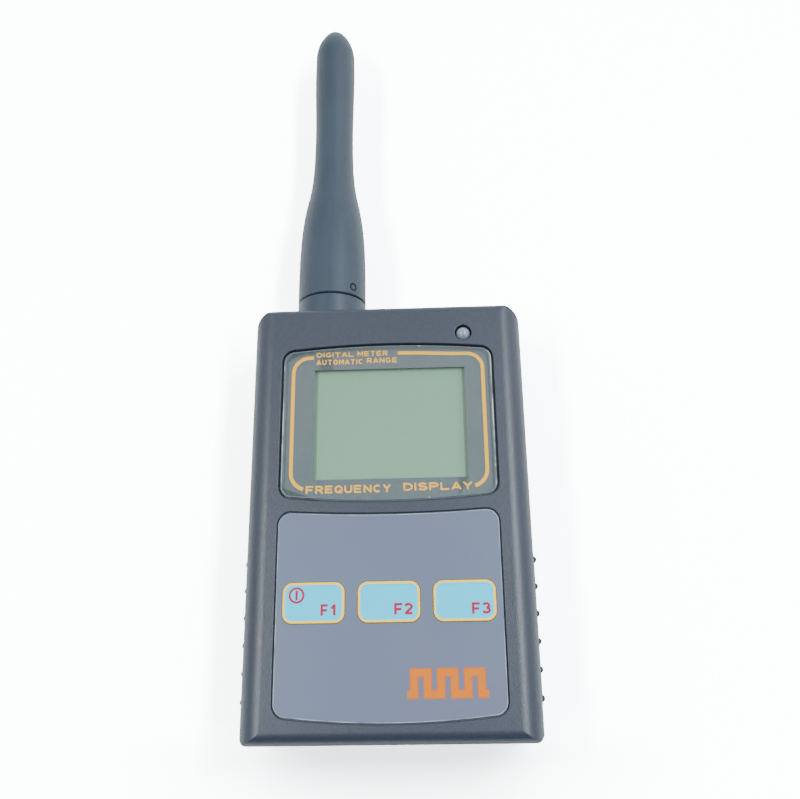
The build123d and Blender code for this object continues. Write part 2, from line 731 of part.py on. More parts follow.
def small_components():
    """Resistors and small capacitors in rows on the board's rear side."""
    blocks = []
    for row, y in enumerate(COMPONENT_ROWS):
        for column in range(COMPONENT_COLUMNS):
            x = COMPONENT_FIRST_XS[row % 2] + column * COMPONENT_PITCH
            blocks.append(box(x - 0.65, x + 0.65, y - 1.0, y + 1.0, BOARD_BOTTOM - 0.6, BOARD_BOTTOM))
    return blocks


# ---- Power ----
PACK_LOW = FLOOR_TOP + PAD_THICK
PACK_HIGH = PACK_LOW + BATTERY_THICK
SOCKET_X = 25.0
SOCKET_Y = -8.0
LEAD_RADIUS = 0.6


def battery_pad():
    width, length = BATTERY_WIDTH - 6, BATTERY_LENGTH - 8
    return Pos(0, BATTERY_Y, FLOOR_TOP + PAD_THICK / 2) * Box(width, length, PAD_THICK)


def battery_pack():
    middle = (PACK_LOW + PACK_HIGH) / 2
    cell = Pos(0, BATTERY_Y, middle) * Box(BATTERY_WIDTH, BATTERY_LENGTH, BATTERY_THICK)
    return fillet(cell.edges().filter_by(Axis.Y), 2.4)


def battery_leads():
    """Two insulated wires from the pack's end to the plug."""
    start_y = BATTERY_Y + BATTERY_LENGTH / 2
    wires = []
    for offset in (-1.0, 1.0):
        turn_x = SOCKET_X + offset
        points = [
            (offset, start_y, PACK_HIGH - 3),
            (offset, start_y + 6 - offset, PACK_HIGH - 3),
            (turn_x, start_y + 6 - offset, PACK_HIGH - 3),
            (turn_x, SOCKET_Y + 3.4, PACK_HIGH - 3),
        ]
        path = FilletPolyline(*points, radius=2.4)
        section = Plane(origin=points[0], z_dir=(0, 1, 0)) * Circle(LEAD_RADIUS)
        wires.append(sweep(section, path))
    return wires


def battery_plug():
    return box(
        SOCKET_X - 2.8, SOCKET_X + 2.8, SOCKET_Y - 3.0, SOCKET_Y + 3.4, PACK_HIGH - 5.0, PACK_HIGH - 1.0
    )


def battery_socket():
    """An open housing on the board that the plug pushes up into."""
    outer = box(
        SOCKET_X - 3.6, SOCKET_X + 3.6, SOCKET_Y - 3.8, SOCKET_Y + 3.3, PACK_HIGH - 2.4, BOARD_BOTTOM
    )
    hollow = box(
        SOCKET_X - 2.9, SOCKET_X + 2.9, SOCKET_Y - 3.1, SOCKET_Y + 5.0, PACK_HIGH - 4.0, PACK_HIGH - 0.9
    )
    return outer - hollow


def dc_jack_body():
    """The charging socket's moulded body, with a round nose in the case's end wall."""
    back_y = -HALF_LENGTH + 13.2
    body = box(
        CHARGE_X - 3.5, CHARGE_X + 3.5, -HALF_LENGTH + WALL + 0.2, back_y, BOARD_TOP, BOARD_TOP + 6.0
    )
    nose_start = -HALF_LENGTH + 0.3
    nose = Pos(CHARGE_X, nose_start + 1.5, CHARGE_Z) * Rot(90, 0, 0) * Cylinder(CHARGE_NOSE, 3.0)
    bore_middle = nose_start + CHARGE_DEPTH / 2
    bore = Pos(CHARGE_X, bore_middle, CHARGE_Z) * Rot(90, 0, 0) * Cylinder(CHARGE_BORE, CHARGE_DEPTH)
    return body + nose - bore


def dc_jack_contacts():
    """The centre pin, and the two tails under the body that solder to the board."""
    tip_y = -HALF_LENGTH + 1.6
    root_y = -HALF_LENGTH + 0.3 + CHARGE_DEPTH
    pin = Pos(CHARGE_X, (tip_y + root_y) / 2, CHARGE_Z) * Rot(90, 0, 0)
    pin *= Cylinder(0.65, root_y - tip_y)
    y = CHARGE_TAIL_Y
    tails = [
        box(x - 0.6, x + 0.6, y - 0.25, y + 0.25, BOARD_BOTTOM - 0.8, BOARD_TOP) for x in CHARGE_TAIL_XS
    ]
    return [pin, *tails]


# ---- Antenna socket ----
def antenna_collar():
    """A flanged collar that the two shells hold in the end wall."""
    foot = HALF_LENGTH - COLLAR_SEAT + 0.05
    collar = tube(COLLAR_RADIUS, COLLAR_BORE, foot, COLLAR_END_Y)
    collar = chamfer(collar.edges().group_by(Axis.Z)[-1], 0.3)
    neck = tube(COLLAR_NECK, COLLAR_BORE, HALF_LENGTH - WALL - 0.1, HALF_LENGTH + 0.1)
    flange = tube(COLLAR_RADIUS + 0.6, 4.8, WEB_BACK_Y, HALF_LENGTH - WALL - 0.05)
    web = tube(COLLAR_BORE + 0.2, 4.8, WEB_BACK_Y, WEB_FRONT_Y)
    return on_antenna(collar + neck + flange + web)


def jack_body():
    """The bayonet socket: flange, barrel with two lugs, and a threaded tail."""
    flange = tube(RING_RADIUS + 0.2, 0, WEB_FRONT_Y, WEB_FRONT_Y + 2)
    barrel = tube(BARREL_RADIUS, 0, WEB_FRONT_Y + 2, BARREL_END_Y)
    tail = tube(TAIL_RADIUS, 0, SOCKET_BACK_Y + 0.5, WEB_FRONT_Y)
    lugs = Pos(0, 0, LUG_Y) * Rot(0, 90, 0) * Cylinder(LUG_RADIUS, 2 * LUG_REACH)
    body = flange + barrel + tail + lugs
    body = chamfer(body.edges().group_by(Axis.Z)[-1], 0.25)
    return on_antenna(body - tube(SOCKET_BORE, 0, SOCKET_BACK_Y, BARREL_END_Y + 1))


def jack_insulator():
    base = tube(SOCKET_BORE, 1.1, SOCKET_BACK_Y, 59.0)
    nose = tube(3.1, 1.1, 59.0, 64.6)
    return on_antenna(base + nose)


def jack_contact():
    """The centre contact, with a solder pin that lies against the board."""
    body = tube(1.1, 0, SOCKET_BACK_Y, 64.2) + tube(0.7, 0, 38.5, SOCKET_BACK_Y)
    socket = tube(PIN_RADIUS + 0.07, 0, 59.8, 65.0)
    return on_antenna(body - socket)


NUT_BACK_Y = WEB_BACK_Y - 0.4 - 0.5 - 2.6


def jack_nut():
    hexagon = Pos(0, 0, NUT_BACK_Y) * extrude(RegularPolygon(7.2, 6), 2.6)
    return on_antenna(hexagon - tube(TAIL_RADIUS, 0, 40, 60))


def jack_lock_washer():
    """A toothed washer between the nut and the lug."""
    washer = tube(6.6, 5.4, NUT_BACK_Y + 2.6, NUT_BACK_Y + 3.1)
    for tooth in range(12):
        turn = Rot(0, 0, tooth * 360 / 12)
        washer += turn * Pos(5.15, 0, NUT_BACK_Y + 2.85) * Box(0.8, 1.2, 0.5)
    return on_antenna(washer - tube(TAIL_RADIUS + 0.01, 0, 40, 60))


def ground_lug():
    """A tinned ring with a tail that bends back to the board's edge."""
    ring = tube(6.4, TAIL_RADIUS + 0.01, WEB_BACK_Y - 0.4, WEB_BACK_Y)
    tail_x = ANTENNA_X + 7.5
    arm = box(ANTENNA_X + 5.5, tail_x + 1.2, WEB_BACK_Y - 0.4, WEB_BACK_Y, 12.8, BOARD_TOP + 0.3)
    tail = box(tail_x - 1.2, tail_x + 1.2, 45.0, WEB_BACK_Y, BOARD_TOP, BOARD_TOP + 0.3)
    return on_antenna(ring) + arm + tail


# ---- Antenna ----
def antenna_sleeve():
    """The tapered rubber sleeve, bored for the plug, the ring and the coil."""
    taper = Spline(
        (COLLAR_RADIUS, SLEEVE_START_Y),
        (9.35, 78.6),
        (8.15, 90.6),
        (6.65, 98.6),
        (5.9, 108.0),
        (5.75, 121.0),
        (6.1, 139.0),
        (DOME_RADIUS, DOME_START_Y),
        tangents=((0, 1), (0, 1)),
    )
    core_radius, core_end = 3.0, 150.5
    shank_end = SHANK_END_Y + 0.2
    bore = Polyline(
        (0, TIP_Y),
        (0, core_end),
        (core_radius, core_end),
        (core_radius, shank_end),
        (4.1, shank_end),
        (4.1, RING_END_Y + 0.1),
        (RING_RADIUS + 0.05, RING_END_Y + 0.1),
        (RING_RADIUS + 0.05, SLEEVE_START_Y),
        (COLLAR_RADIUS, SLEEVE_START_Y),
    )
    section = Plane.XZ * make_face([taper, *dome_arcs(), bore])
    sleeve = revolve(section, Axis.Z)
    rim = sleeve.edges().group_by(Axis.Z)[0].sort_by(SortBy.RADIUS)[-1]
    sleeve = chamfer(rim, 0.25)
    sleeve -= gate_mark()
    return on_antenna(sleeve)


def dome_arcs():
    """The sleeve's rounded end: a long side arc and a tip arc that meet in line."""
    height = TIP_Y - DOME_START_Y
    side = DOME_SIDE_ROUND
    inset = side - DOME_RADIUS
    tip = (side**2 - inset**2 - height**2) / (2 * (side - height))
    turn = degrees(atan2(height - tip, inset))
    side_arc = CenterArc((-inset, DOME_START_Y), side, 0, turn)
    tip_arc = CenterArc((0, TIP_Y - tip), tip, turn, 90 - turn)
    return side_arc, tip_arc


def gate_mark():
    """A round dimple with a low boss in it, left by the mould near the sleeve's foot."""
    angle = -0.775
    place = Pos(COLLAR_RADIUS * sin(-angle), -COLLAR_RADIUS * cos(angle), 63.6)
    turned = place * Rot(0, 0, degrees(-angle)) * Rot(90, 0, 0)
    return turned * (Cylinder(1.15, 1.2) - Pos(0, 0, -0.3) * Cylinder(0.75, 0.9))


def coupling_ring():
    """The plated ring whose bayonet slots turn on the socket's lugs."""
    lip = 1.1
    ring = tube(RING_RADIUS, RING_BORE, RING_START_Y, RING_END_Y - lip)
    ring += tube(RING_RADIUS, 4.1, RING_END_Y - lip, RING_END_Y)
    margin = 14.0
    slot_radius, slot_half = LUG_REACH + 0.2, LUG_RADIUS + 0.15
    sweep_angle = TURN_RANGE + 2 * margin
    about_axis = (Align.NONE, Align.NONE, Align.CENTER)
    track = Cylinder(slot_radius, 2 * slot_half, arc_size=sweep_angle, align=about_axis)
    for start in (0, 180):
        turn = Rot(0, 0, start - TURN_RANGE - margin)
        ring -= Pos(0, 0, LUG_Y) * turn * track
        entry = Pos(slot_radius / 2, 0, (RING_START_Y - 1 + LUG_Y) / 2)
        entry *= Box(slot_radius, 2 * slot_half, LUG_Y - RING_START_Y + 1)
        ring -= Rot(0, 0, start - TURN_RANGE) * entry
    return on_antenna(chamfer(ring.edges().group_by(Axis.Z)[-1], 0.3))


def spring_washer():
    return on_antenna(tube(4.85, 4.15, FLANGE_END_Y + 0.1, FLANGE_END_Y + 0.45))


def plug_gasket():
    return on_antenna(tube(4.8, 4.1, BARREL_END_Y + 0.1, FLANGE_Y - 0.02))


def plug_body():
    """The plug's ferrule, flange and shank."""
    ferrule = tube(FERRULE_RADIUS, PLUG_BORE, 59.6, FLANGE_Y)
    ferrule = chamfer(ferrule.edges().group_by(Axis.Z)[0], 0.15)
    flange = tube(4.85, PLUG_BORE, FLANGE_Y, FLANGE_END_Y)
    shank = tube(4.0, PLUG_BORE, FLANGE_END_Y, SHANK_END_Y)
    return on_antenna(ferrule + flange + shank)


def plug_insulator():
    return on_antenna(tube(PLUG_BORE, 0.7, 65.0, SHANK_END_Y - 1))


def plug_pin():
    pin = tube(PIN_RADIUS, 0, 60.4, 79.5)
    return on_antenna(chamfer(pin.edges().group_by(Axis.Z)[0], 0.3))


def antenna_core():
    return on_antenna(tube(2.0, 0, 80.0, 150.0))


def antenna_coil():
    """The space of the close-wound coil on its core."""
    return on_antenna(tube(2.8, 2.05, 82.0, 146.0))


# ---- Writing the parts ----
def build():
    parts = {
        "front_case": front_case(),
        "rear_case": rear_case(),
        "side_grip_left": side_grip(-1),
        "side_grip_right": side_grip(1),
        "case_screws": case_screws(),
        "board_screws": board_screws(),
        "rating_label": rating_label(),
        "window_lens": window_lens(),
        "lens_mask": lens_mask(),
        "keypad_overlay": keypad_overlay(),
        "switch_bodies": switch_bodies(),
        "switch_domes": switch_domes(),
        "status_led": status_led(),
        "led_leads": led_leads(),
        "main_board": main_board(),
        "lcd_frame": lcd_frame(),
        "lcd_backlight": lcd_backlight(),
        "lcd_glass": lcd_glass(),
        "lcd_polarizer": lcd_polarizer(),
        "zebra_strips": zebra_strips(),
        "controller_chip": controller_chip(),
        "prescaler_chip": prescaler_chip(),
        "voltage_regulator": voltage_regulator(),
        "rf_shield": rf_shield(),
        "crystal_oscillator": crystal_oscillator(),
        "capacitors": capacitors(),
        "small_components": small_components(),
        "battery_pad": battery_pad(),
        "battery_pack": battery_pack(),
        "battery_leads": battery_leads(),
        "battery_plug": battery_plug(),
        "battery_socket": battery_socket(),
        "dc_jack_body": dc_jack_body(),
        "dc_jack_contacts": dc_jack_contacts(),
        "antenna_collar": antenna_collar(),
        "jack_body": jack_body(),
        "jack_insulator": jack_insulator(),
        "jack_contact": jack_contact(),
        "jack_nut": jack_nut(),
        "jack_lock_washer": jack_lock_washer(),
        "ground_lug": ground_lug(),
        "antenna_sleeve": antenna_sleeve(),
        "coupling_ring": coupling_ring(),
        "spring_washer": spring_washer(),
        "plug_gasket": plug_gasket(),
        "plug_body": plug_body(),
        "plug_insulator": plug_insulator(),
        "plug_pin": plug_pin(),
        "antenna_core": antenna_core(),
        "antenna_coil": antenna_coil(),
    }
    for name, x in zip(KEY_NAMES, KEY_XS):
        parts[f"key_{name}"] = key(x)
        parts[f"switch_stem_{name}"] = switch_stem(x)
    return parts


os.makedirs("parts", exist_ok=True)
for node, solids in build().items():
    save(node, solids)
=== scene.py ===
import math

import bmesh
import bpy
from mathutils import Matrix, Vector


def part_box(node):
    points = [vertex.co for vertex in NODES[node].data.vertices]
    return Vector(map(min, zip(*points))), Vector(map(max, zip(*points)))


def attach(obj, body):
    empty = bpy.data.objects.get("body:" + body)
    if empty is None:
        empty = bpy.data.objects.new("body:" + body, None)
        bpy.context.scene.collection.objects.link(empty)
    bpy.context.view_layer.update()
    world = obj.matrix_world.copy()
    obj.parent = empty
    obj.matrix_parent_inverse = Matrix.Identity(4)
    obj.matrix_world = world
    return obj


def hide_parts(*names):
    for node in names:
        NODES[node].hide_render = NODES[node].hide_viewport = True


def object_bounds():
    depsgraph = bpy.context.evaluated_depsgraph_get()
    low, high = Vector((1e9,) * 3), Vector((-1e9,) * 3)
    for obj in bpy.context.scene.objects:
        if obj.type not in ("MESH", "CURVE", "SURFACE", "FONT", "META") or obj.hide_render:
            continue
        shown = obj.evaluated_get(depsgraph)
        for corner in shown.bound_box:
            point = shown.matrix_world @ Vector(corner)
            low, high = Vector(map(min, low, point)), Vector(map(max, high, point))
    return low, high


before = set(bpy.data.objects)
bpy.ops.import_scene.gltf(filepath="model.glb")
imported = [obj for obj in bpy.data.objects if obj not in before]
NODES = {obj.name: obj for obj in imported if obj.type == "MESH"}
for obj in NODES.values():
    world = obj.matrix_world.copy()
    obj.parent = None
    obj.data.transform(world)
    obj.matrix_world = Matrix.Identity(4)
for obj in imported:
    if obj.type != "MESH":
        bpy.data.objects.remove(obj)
cad_low, cad_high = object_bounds()

MM = 0.001
INK_LIFT = 0.012  # millimetres that printed ink stands above its surface
HAIR = 0.001      # millimetres between the faces of strips that cross
CLOSE = 1e-6      # a distance that counts as none

# ---- The view ----
CAMERA_PLACE = (10.575, -43.024, 234.673)  # millimetres in the row's frame
CAMERA_TURN = (0.3287, 0.0396, -0.0133)    # radians
CAMERA_LENS = 38.25                        # millimetres, as the sensor's width
CAMERA_SENSOR = 36.0


def make_camera():
    """The camera as solved from the photo."""
    data = bpy.data.cameras.new("camera")
    data.lens = CAMERA_LENS
    data.sensor_width = CAMERA_SENSOR
    data.clip_start = 0.01
    data.clip_end = 20.0
    camera = bpy.data.objects.new("camera", data)
    camera.location = Vector(CAMERA_PLACE) * MM
    camera.rotation_euler = CAMERA_TURN
    bpy.context.scene.collection.objects.link(camera)
    bpy.context.scene.camera = camera


# ---- Colours ----
def srgb(red, green, blue):
    """A screen colour from 0 to 255 as the linear colour that shaders take."""
    def linear(value):
        value /= 255
        return value / 12.92 if value <= 0.04045 else ((value + 0.055) / 1.055) ** 2.4
    return (linear(red), linear(green), linear(blue), 1.0)


def tinted(colour, factor):
    """The colour made lighter or darker."""
    return tuple(min(1.0, channel * factor) for channel in colour[:3]) + (1.0,)


# ---- Node building ----
class Recipe:
    """One Principled material, with short names for the nodes that shape it.

    Its patterns are set out in the row's frame, in millimetres.
    """

    def __init__(self, name, roughness=0.5, metallic=0.0, ior=1.5, coat=0.0, coat_roughness=0.1):
        self.material = bpy.data.materials.new(name)
        self.material.use_nodes = True
        self.nodes = self.material.node_tree.nodes
        self.links = self.material.node_tree.links
        self.shader = self.nodes["Principled BSDF"]
        self.set("Roughness", roughness)
        self.set("Metallic", metallic)
        self.set("IOR", ior)
        self.set("Coat Weight", coat)
        self.set("Coat Roughness", coat_roughness)
        place = self.nodes.new("ShaderNodeTexCoord").outputs["Object"]
        self.place = self.vector("MULTIPLY", place, (1000, 1000, 1000))

    def feed(self, socket, value):
        """Links a node's output to the socket, or sets the socket to a constant."""
        if isinstance(value, bpy.types.NodeSocket):
            self.links.new(value, socket)
        else:
            socket.default_value = value

    def set(self, name, value):
        """Feeds one of the Principled shader's inputs."""
        self.feed(self.shader.inputs[name], value)

    def vector(self, operation, first, second=(0, 0, 0)):
        """One step of vector arithmetic."""
        node = self.nodes.new("ShaderNodeVectorMath")
        node.operation = operation
        self.feed(node.inputs[0], first)
        if operation not in ("ABSOLUTE", "LENGTH"):
            self.feed(node.inputs[1], second)
        return node.outputs["Value" if operation == "LENGTH" else "Vector"]

    def math(self, operation, first, second=0.0):
        """One step of arithmetic."""
        node = self.nodes.new("ShaderNodeMath")
        node.operation = operation
        self.feed(node.inputs[0], first)
        self.feed(node.inputs[1], second)
        return node.outputs[0]

    def axis(self, index, vector=None):
        """One coordinate of a vector, by default of the place on the object."""
        node = self.nodes.new("ShaderNodeSeparateXYZ")
        self.feed(node.inputs[0], vector or self.place)
        return node.outputs[index]

    def noise(self, size, detail=2.0, stretch=(1, 1, 1), roughness=0.5):
        """Smooth noise whose blobs are about size millimetres across."""
        node = self.nodes.new("ShaderNodeTexNoise")
        node.inputs["Scale"].default_value = 1 / size
        node.inputs["Detail"].default_value = detail
        node.inputs["Roughness"].default_value = roughness
        self.feed(node.inputs["Vector"], self.vector("MULTIPLY", self.place, stretch))
        return node.outputs["Fac"]

    def cells(self, size):
        """Distances from the middles of random cells about size millimetres across."""
        node = self.nodes.new("ShaderNodeTexVoronoi")
        node.inputs["Scale"].default_value = 1 / size
        self.links.new(self.place, node.inputs["Vector"])
        return node.outputs["Distance"]

    def remap(self, value, low, high, out_low=0.0, out_high=1.0):
        """The value's range from low to high stretched to another range, and held there."""
        node = self.nodes.new("ShaderNodeMapRange")
        self.feed(node.inputs["Value"], value)
        node.inputs["From Min"].default_value = low
        node.inputs["From Max"].default_value = high
        node.inputs["To Min"].default_value = out_low
        node.inputs["To Max"].default_value = out_high
        return node.outputs["Result"]

    def blend(self, factor, first, second):
        """A colour between two colours."""
        node = self.nodes.new("ShaderNodeMix")
        node.data_type = "RGBA"
        self.feed(node.inputs["Factor"], factor)
        self.feed(node.inputs["A"], first)
        self.feed(node.inputs["B"], second)
        return node.outputs["Result"]

    def shades(self, factor, colour, dark, light):
        """The colour from dark times to light times itself."""
        return self.blend(factor, tinted(colour, dark), tinted(colour, light))

    def bump(self, layers):
        """Adds surface relief from (height, depth in millimetres) pairs."""
        normal = None
        for height, depth in layers:
            node = self.nodes.new("ShaderNodeBump")
            node.inputs["Distance"].default_value = depth * MM
            self.feed(node.inputs["Height"], height)
            if normal is not None:
                self.links.new(normal, node.inputs["Normal"])
            normal = node.outputs["Normal"]
        self.set("Normal", normal)

    def edge_distance(self, centre, half, radius):
        """Millimetres from a rounded rectangle's edge in plan, negative inside it."""
        offset = self.vector("SUBTRACT", self.place, (centre[0], centre[1], 0))
        folded = self.vector("ABSOLUTE", offset)
        flat = 1000.0  # millimetres, more than any height, so that only the plan counts
        corner = self.vector("SUBTRACT", folded, (half[0] - radius, half[1] - radius, flat))
        outside = self.vector("LENGTH", self.vector("MAXIMUM", corner, (0, 0, 0)))
        inside = self.math("MAXIMUM", self.axis(0, corner), self.axis(1, corner))
        inside = self.math("MINIMUM", inside, 0.0)
        return self.math("SUBTRACT", self.math("ADD", outside, inside), radius)


# ---- Materials ----
CASE_COLOUR = srgb(35, 41, 52)
ANTENNA_COLOUR = srgb(31, 44, 57)
LABEL_COLOUR = srgb(74, 84, 106)
LABEL_COOL = srgb(71, 85, 107)
LABEL_WARM = srgb(77, 83, 105)
GRIP_DARK = srgb(34, 37, 42)
GRIP_PALE = srgb(42, 46, 52)
KEY_COLOUR = srgb(4, 192, 227)
KEY_GOLD = srgb(252, 198, 40)
INK_GOLD = srgb(232, 168, 12)
INK_ORANGE = srgb(198, 106, 4)
INK_ORANGE_EDGE = srgb(190, 76, 40)
INK_RED = srgb(160, 4, 52)
MASK_COLOUR = srgb(68, 80, 85)
MASK_WARM = srgb(80, 83, 82)
DISPLAY_COLOUR = srgb(109, 140, 116)


def case_plastic():
    """Dark moulded ABS with a fine spark-eroded grain and faint scuffs."""
    recipe = Recipe("case_plastic", ior=1.5)
    cloud = recipe.noise(28, 3)
    grain = recipe.noise(0.32, 3, roughness=0.65)
    pits = recipe.cells(0.42)
    tone = recipe.shades(recipe.remap(cloud, 0.3, 0.7), CASE_COLOUR, 0.92, 1.1)
    speckle = recipe.remap(grain, 0.35, 0.75)
    recipe.set("Base Color", recipe.blend(speckle, tone, tinted(CASE_COLOUR, 1.3)))
    scuff = recipe.remap(recipe.noise(1.2, 4, stretch=(1, 0.12, 1)), 0.62, 0.72)
    rough = recipe.remap(grain, 0.3, 0.7, 0.34, 0.46)
    recipe.set("Roughness", recipe.math("SUBTRACT", rough, recipe.math("MULTIPLY", scuff, 0.06)))
    recipe.bump([(grain, 0.03), (pits, 0.015), (cloud, 0.15)])
    return recipe.material


def collar_plastic():
    """The moulded collar at the antenna's foot, in the antenna's colour."""
    recipe = Recipe("collar_plastic", ior=1.5)
    cloud = recipe.noise(6, 3)
    grain = recipe.noise(0.35, 2)
    recipe.set("Base Color", recipe.shades(cloud, ANTENNA_COLOUR, 0.9, 1.1))
    recipe.set("Roughness", recipe.remap(grain, 0.3, 0.7, 0.38, 0.5))
    recipe.bump([(grain, 0.03)])
    return recipe.material


def antenna_rubber():
    """Moulded rubber with faint flow marks along the sleeve."""
    recipe = Recipe("antenna_rubber", ior=1.5)
    flow = recipe.noise(2.6, 3, stretch=(1, 0.05, 1))
    cloud = recipe.noise(14, 3)
    grain = recipe.noise(0.25, 3, roughness=0.6)
    tone = recipe.shades(recipe.remap(flow, 0.3, 0.7), ANTENNA_COLOUR, 0.88, 1.12)
    worn = recipe.remap(cloud, 0.45, 0.8)
    recipe.set("Base Color", recipe.blend(worn, tone, tinted(ANTENNA_COLOUR, 1.2)))
    recipe.set("Roughness", recipe.remap(grain, 0.3, 0.7, 0.46, 0.58))
    recipe.bump([(flow, 0.12), (grain, 0.02)])
    return recipe.material


def grip_rubber():
    """Matt dark rubber of the side grips."""
    recipe = Recipe("grip_rubber", ior=1.45)
    cloud = recipe.noise(5, 3)
    grain = recipe.noise(0.3, 3, roughness=0.7)
    recipe.set("Base Color", recipe.blend(cloud, GRIP_DARK, GRIP_PALE))
    recipe.set("Roughness", recipe.remap(grain, 0.3, 0.7, 0.6, 0.78))
    recipe.bump([(grain, 0.05)])
    return recipe.material


def label_film():
    """Printed polycarbonate film with a velvet grain."""
    recipe = Recipe("label_film", ior=1.55)
    cloud = recipe.noise(16, 4)
    drift = recipe.noise(40, 2)
    grain = recipe.noise(0.24, 2)
    tone = recipe.blend(recipe.remap(drift, 0.35, 0.65), LABEL_COOL, LABEL_WARM)
    pale = recipe.remap(cloud, 0.35, 0.75, 0, 0.5)
    recipe.set("Base Color", recipe.blend(pale, tone, tinted(LABEL_COLOUR, 1.12)))
    recipe.set("Roughness", recipe.remap(grain, 0.3, 0.7, 0.42, 0.55))
    recipe.bump([(grain, 0.012), (cloud, 0.05)])
    return recipe.material


def key_film(node):
    """One key's print: a cyan field inside a pale gold outline, embossed along its edge."""
    low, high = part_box(node)
    middle = (low + high) / 2 / MM
    half = (high - low) / 2 / MM
    recipe = Recipe(f"{node}_film", ior=1.5)
    recipe.set("Specular IOR Level", 0.15)
    corner_radius = 2.4
    edge = recipe.edge_distance(middle, half, corner_radius)
    outline = recipe.remap(edge, -0.62, -0.54)
    cloud = recipe.noise(5, 3)
    grain = recipe.noise(0.3, 2)
    cyan = recipe.shades(cloud, KEY_COLOUR, 0.94, 1.04)
    gold = recipe.shades(recipe.noise(1.6, 2), KEY_GOLD, 0.9, 1.05)
    recipe.set("Base Color", recipe.blend(outline, cyan, gold))
    recipe.set("Roughness", recipe.remap(grain, 0.3, 0.7, 0.34, 0.46))
    emboss = recipe.remap(edge, -1.1, -0.3)
    recipe.bump([(emboss, 0.10), (grain, 0.01)])
    return recipe.material


def mask_print():
    """The grey screen print round the window, seen through the lens."""
    recipe = Recipe("mask_print", roughness=0.6)
    cloud = recipe.noise(9, 3)
    drift = recipe.noise(22, 2)
    tone = recipe.shades(recipe.remap(cloud, 0.3, 0.7), MASK_COLOUR, 0.95, 1.05)
    recipe.set("Base Color", recipe.blend(recipe.remap(drift, 0.4, 0.7, 0, 0.6), tone, MASK_WARM))
    return recipe.material


def display_film():
    """The display's front polariser: grey-green, a little brighter over its active area."""
    recipe = Recipe("display_film", ior=1.5)
    low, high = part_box("lcd_polarizer")
    middle = (low + high) / 2 / MM
    active_half = (18.4, 14.6)
    edge = recipe.edge_distance(middle, active_half, 0.3)
    active = recipe.remap(edge, -0.3, 0.1, 1, 0)
    drift = recipe.noise(30, 2)
    down = recipe.remap(recipe.axis(1), low.y / MM, high.y / MM)
    fine = recipe.noise(0.4, 2)
    tone = recipe.blend(down, DISPLAY_COLOUR, tinted(DISPLAY_COLOUR, 0.95))
    tone = recipe.blend(recipe.remap(drift, 0.3, 0.7, 0, 0.3), tone, tinted(DISPLAY_COLOUR, 1.08))
    recipe.set("Base Color", recipe.blend(active, tinted(DISPLAY_COLOUR, 0.9), tone))
    recipe.set("Roughness", recipe.remap(fine, 0.3, 0.7, 0.34, 0.42))
    return recipe.material


def ink(name, colour, gloss=0.45):
    """Screen-printed ink with slightly uneven cover."""
    recipe = Recipe(name, ior=1.5)
    recipe.set("Specular IOR Level", 0.2)
    cover = recipe.noise(0.7, 3)
    grain = recipe.noise(0.15, 2)
    recipe.set("Base Color", recipe.shades(recipe.remap(cover, 0.35, 0.7), colour, 0.9, 1.0))
    recipe.set("Roughness", recipe.remap(grain, 0.3, 0.7, gloss - 0.05, gloss + 0.08))
    recipe.bump([(grain, 0.006)])
    return recipe.material


def clear_pane():
    """Clear acrylic that mirrors a little and lets the rest through, with light wipe marks."""
    recipe = Recipe("clear_pane")
    material, nodes, links = recipe.material, recipe.nodes, recipe.links
    nodes.remove(recipe.shader)
    clear = nodes.new("ShaderNodeBsdfTransparent")
    clear.inputs["Color"].default_value = (0.975, 0.985, 0.98, 1)
    mirror = nodes.new("ShaderNodeBsdfAnisotropic")
    mirror.inputs["Color"].default_value = (1, 1, 1, 1)
    wipes = recipe.noise(3, 3, stretch=(1, 0.3, 1))
    links.new(recipe.remap(wipes, 0.4, 0.7, 0.04, 0.12), mirror.inputs["Roughness"])
    fresnel = nodes.new("ShaderNodeFresnel")
    fresnel.inputs["IOR"].default_value = 1.49
    mix = nodes.new("ShaderNodeMixShader")
    # Only the faces that look outwards mirror, so that nothing repeats inside the pane.
    inside = nodes.new("ShaderNodeNewGeometry").outputs["Backfacing"]
    outside = recipe.math("SUBTRACT", 1.0, inside)
    links.new(recipe.math("MULTIPLY", fresnel.outputs[0], outside), mix.inputs[0])
    links.new(clear.outputs[0], mix.inputs[1])
    links.new(mirror.outputs[0], mix.inputs[2])
    links.new(mix.outputs[0], nodes["Material Output"].inputs["Surface"])
    return material


def rim_acrylic_painted_highlight():
    """The lens's polished rim: grey, with painted highlights along its sides and painted glints in
    small spots.
    """
    low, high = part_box("window_lens")
    recipe = Recipe("rim_acrylic_painted_highlight", ior=1.49, coat=0.3, coat_roughness=0.1)
    edge_x = (high.x - low.x) / 2 / MM
    side = recipe.remap(recipe.math("ABSOLUTE", recipe.axis(0)), edge_x - 1.6, edge_x - 0.4)
    along = recipe.remap(recipe.noise(5, 2), 0.42, 0.6)
    painted_glints = recipe.remap(recipe.noise(0.7, 2), 0.66, 0.72)
    # Painted highlight: the rim is painted pale along its sides and in small glints, where it catches
    # light.
    lit = recipe.math("MAXIMUM", recipe.math("MULTIPLY", side, along), painted_glints)
    recipe.set("Base Color", recipe.blend(lit, tinted(MASK_COLOUR, 1.3), srgb(176, 184, 186)))
    recipe.set("Roughness", recipe.remap(along, 0, 1, 0.3, 0.15))
    return recipe.material


def film_edge_painted_highlight():
    """The cut edge of the keypad film, painted paler than its print as a highlight where the edge
    catches light.
    """
    recipe = Recipe("film_edge_painted_highlight", ior=1.55)
    along = recipe.noise(5, 3)
    # Painted highlight: the edge's pale tones stand in for light caught along the cut.
    tone = recipe.blend(recipe.remap(along, 0.3, 0.7), srgb(92, 100, 120), srgb(140, 148, 168))
    recipe.set("Base Color", tone)
    recipe.set("Roughness", recipe.remap(along, 0.3, 0.7, 0.25, 0.4))
    return recipe.material


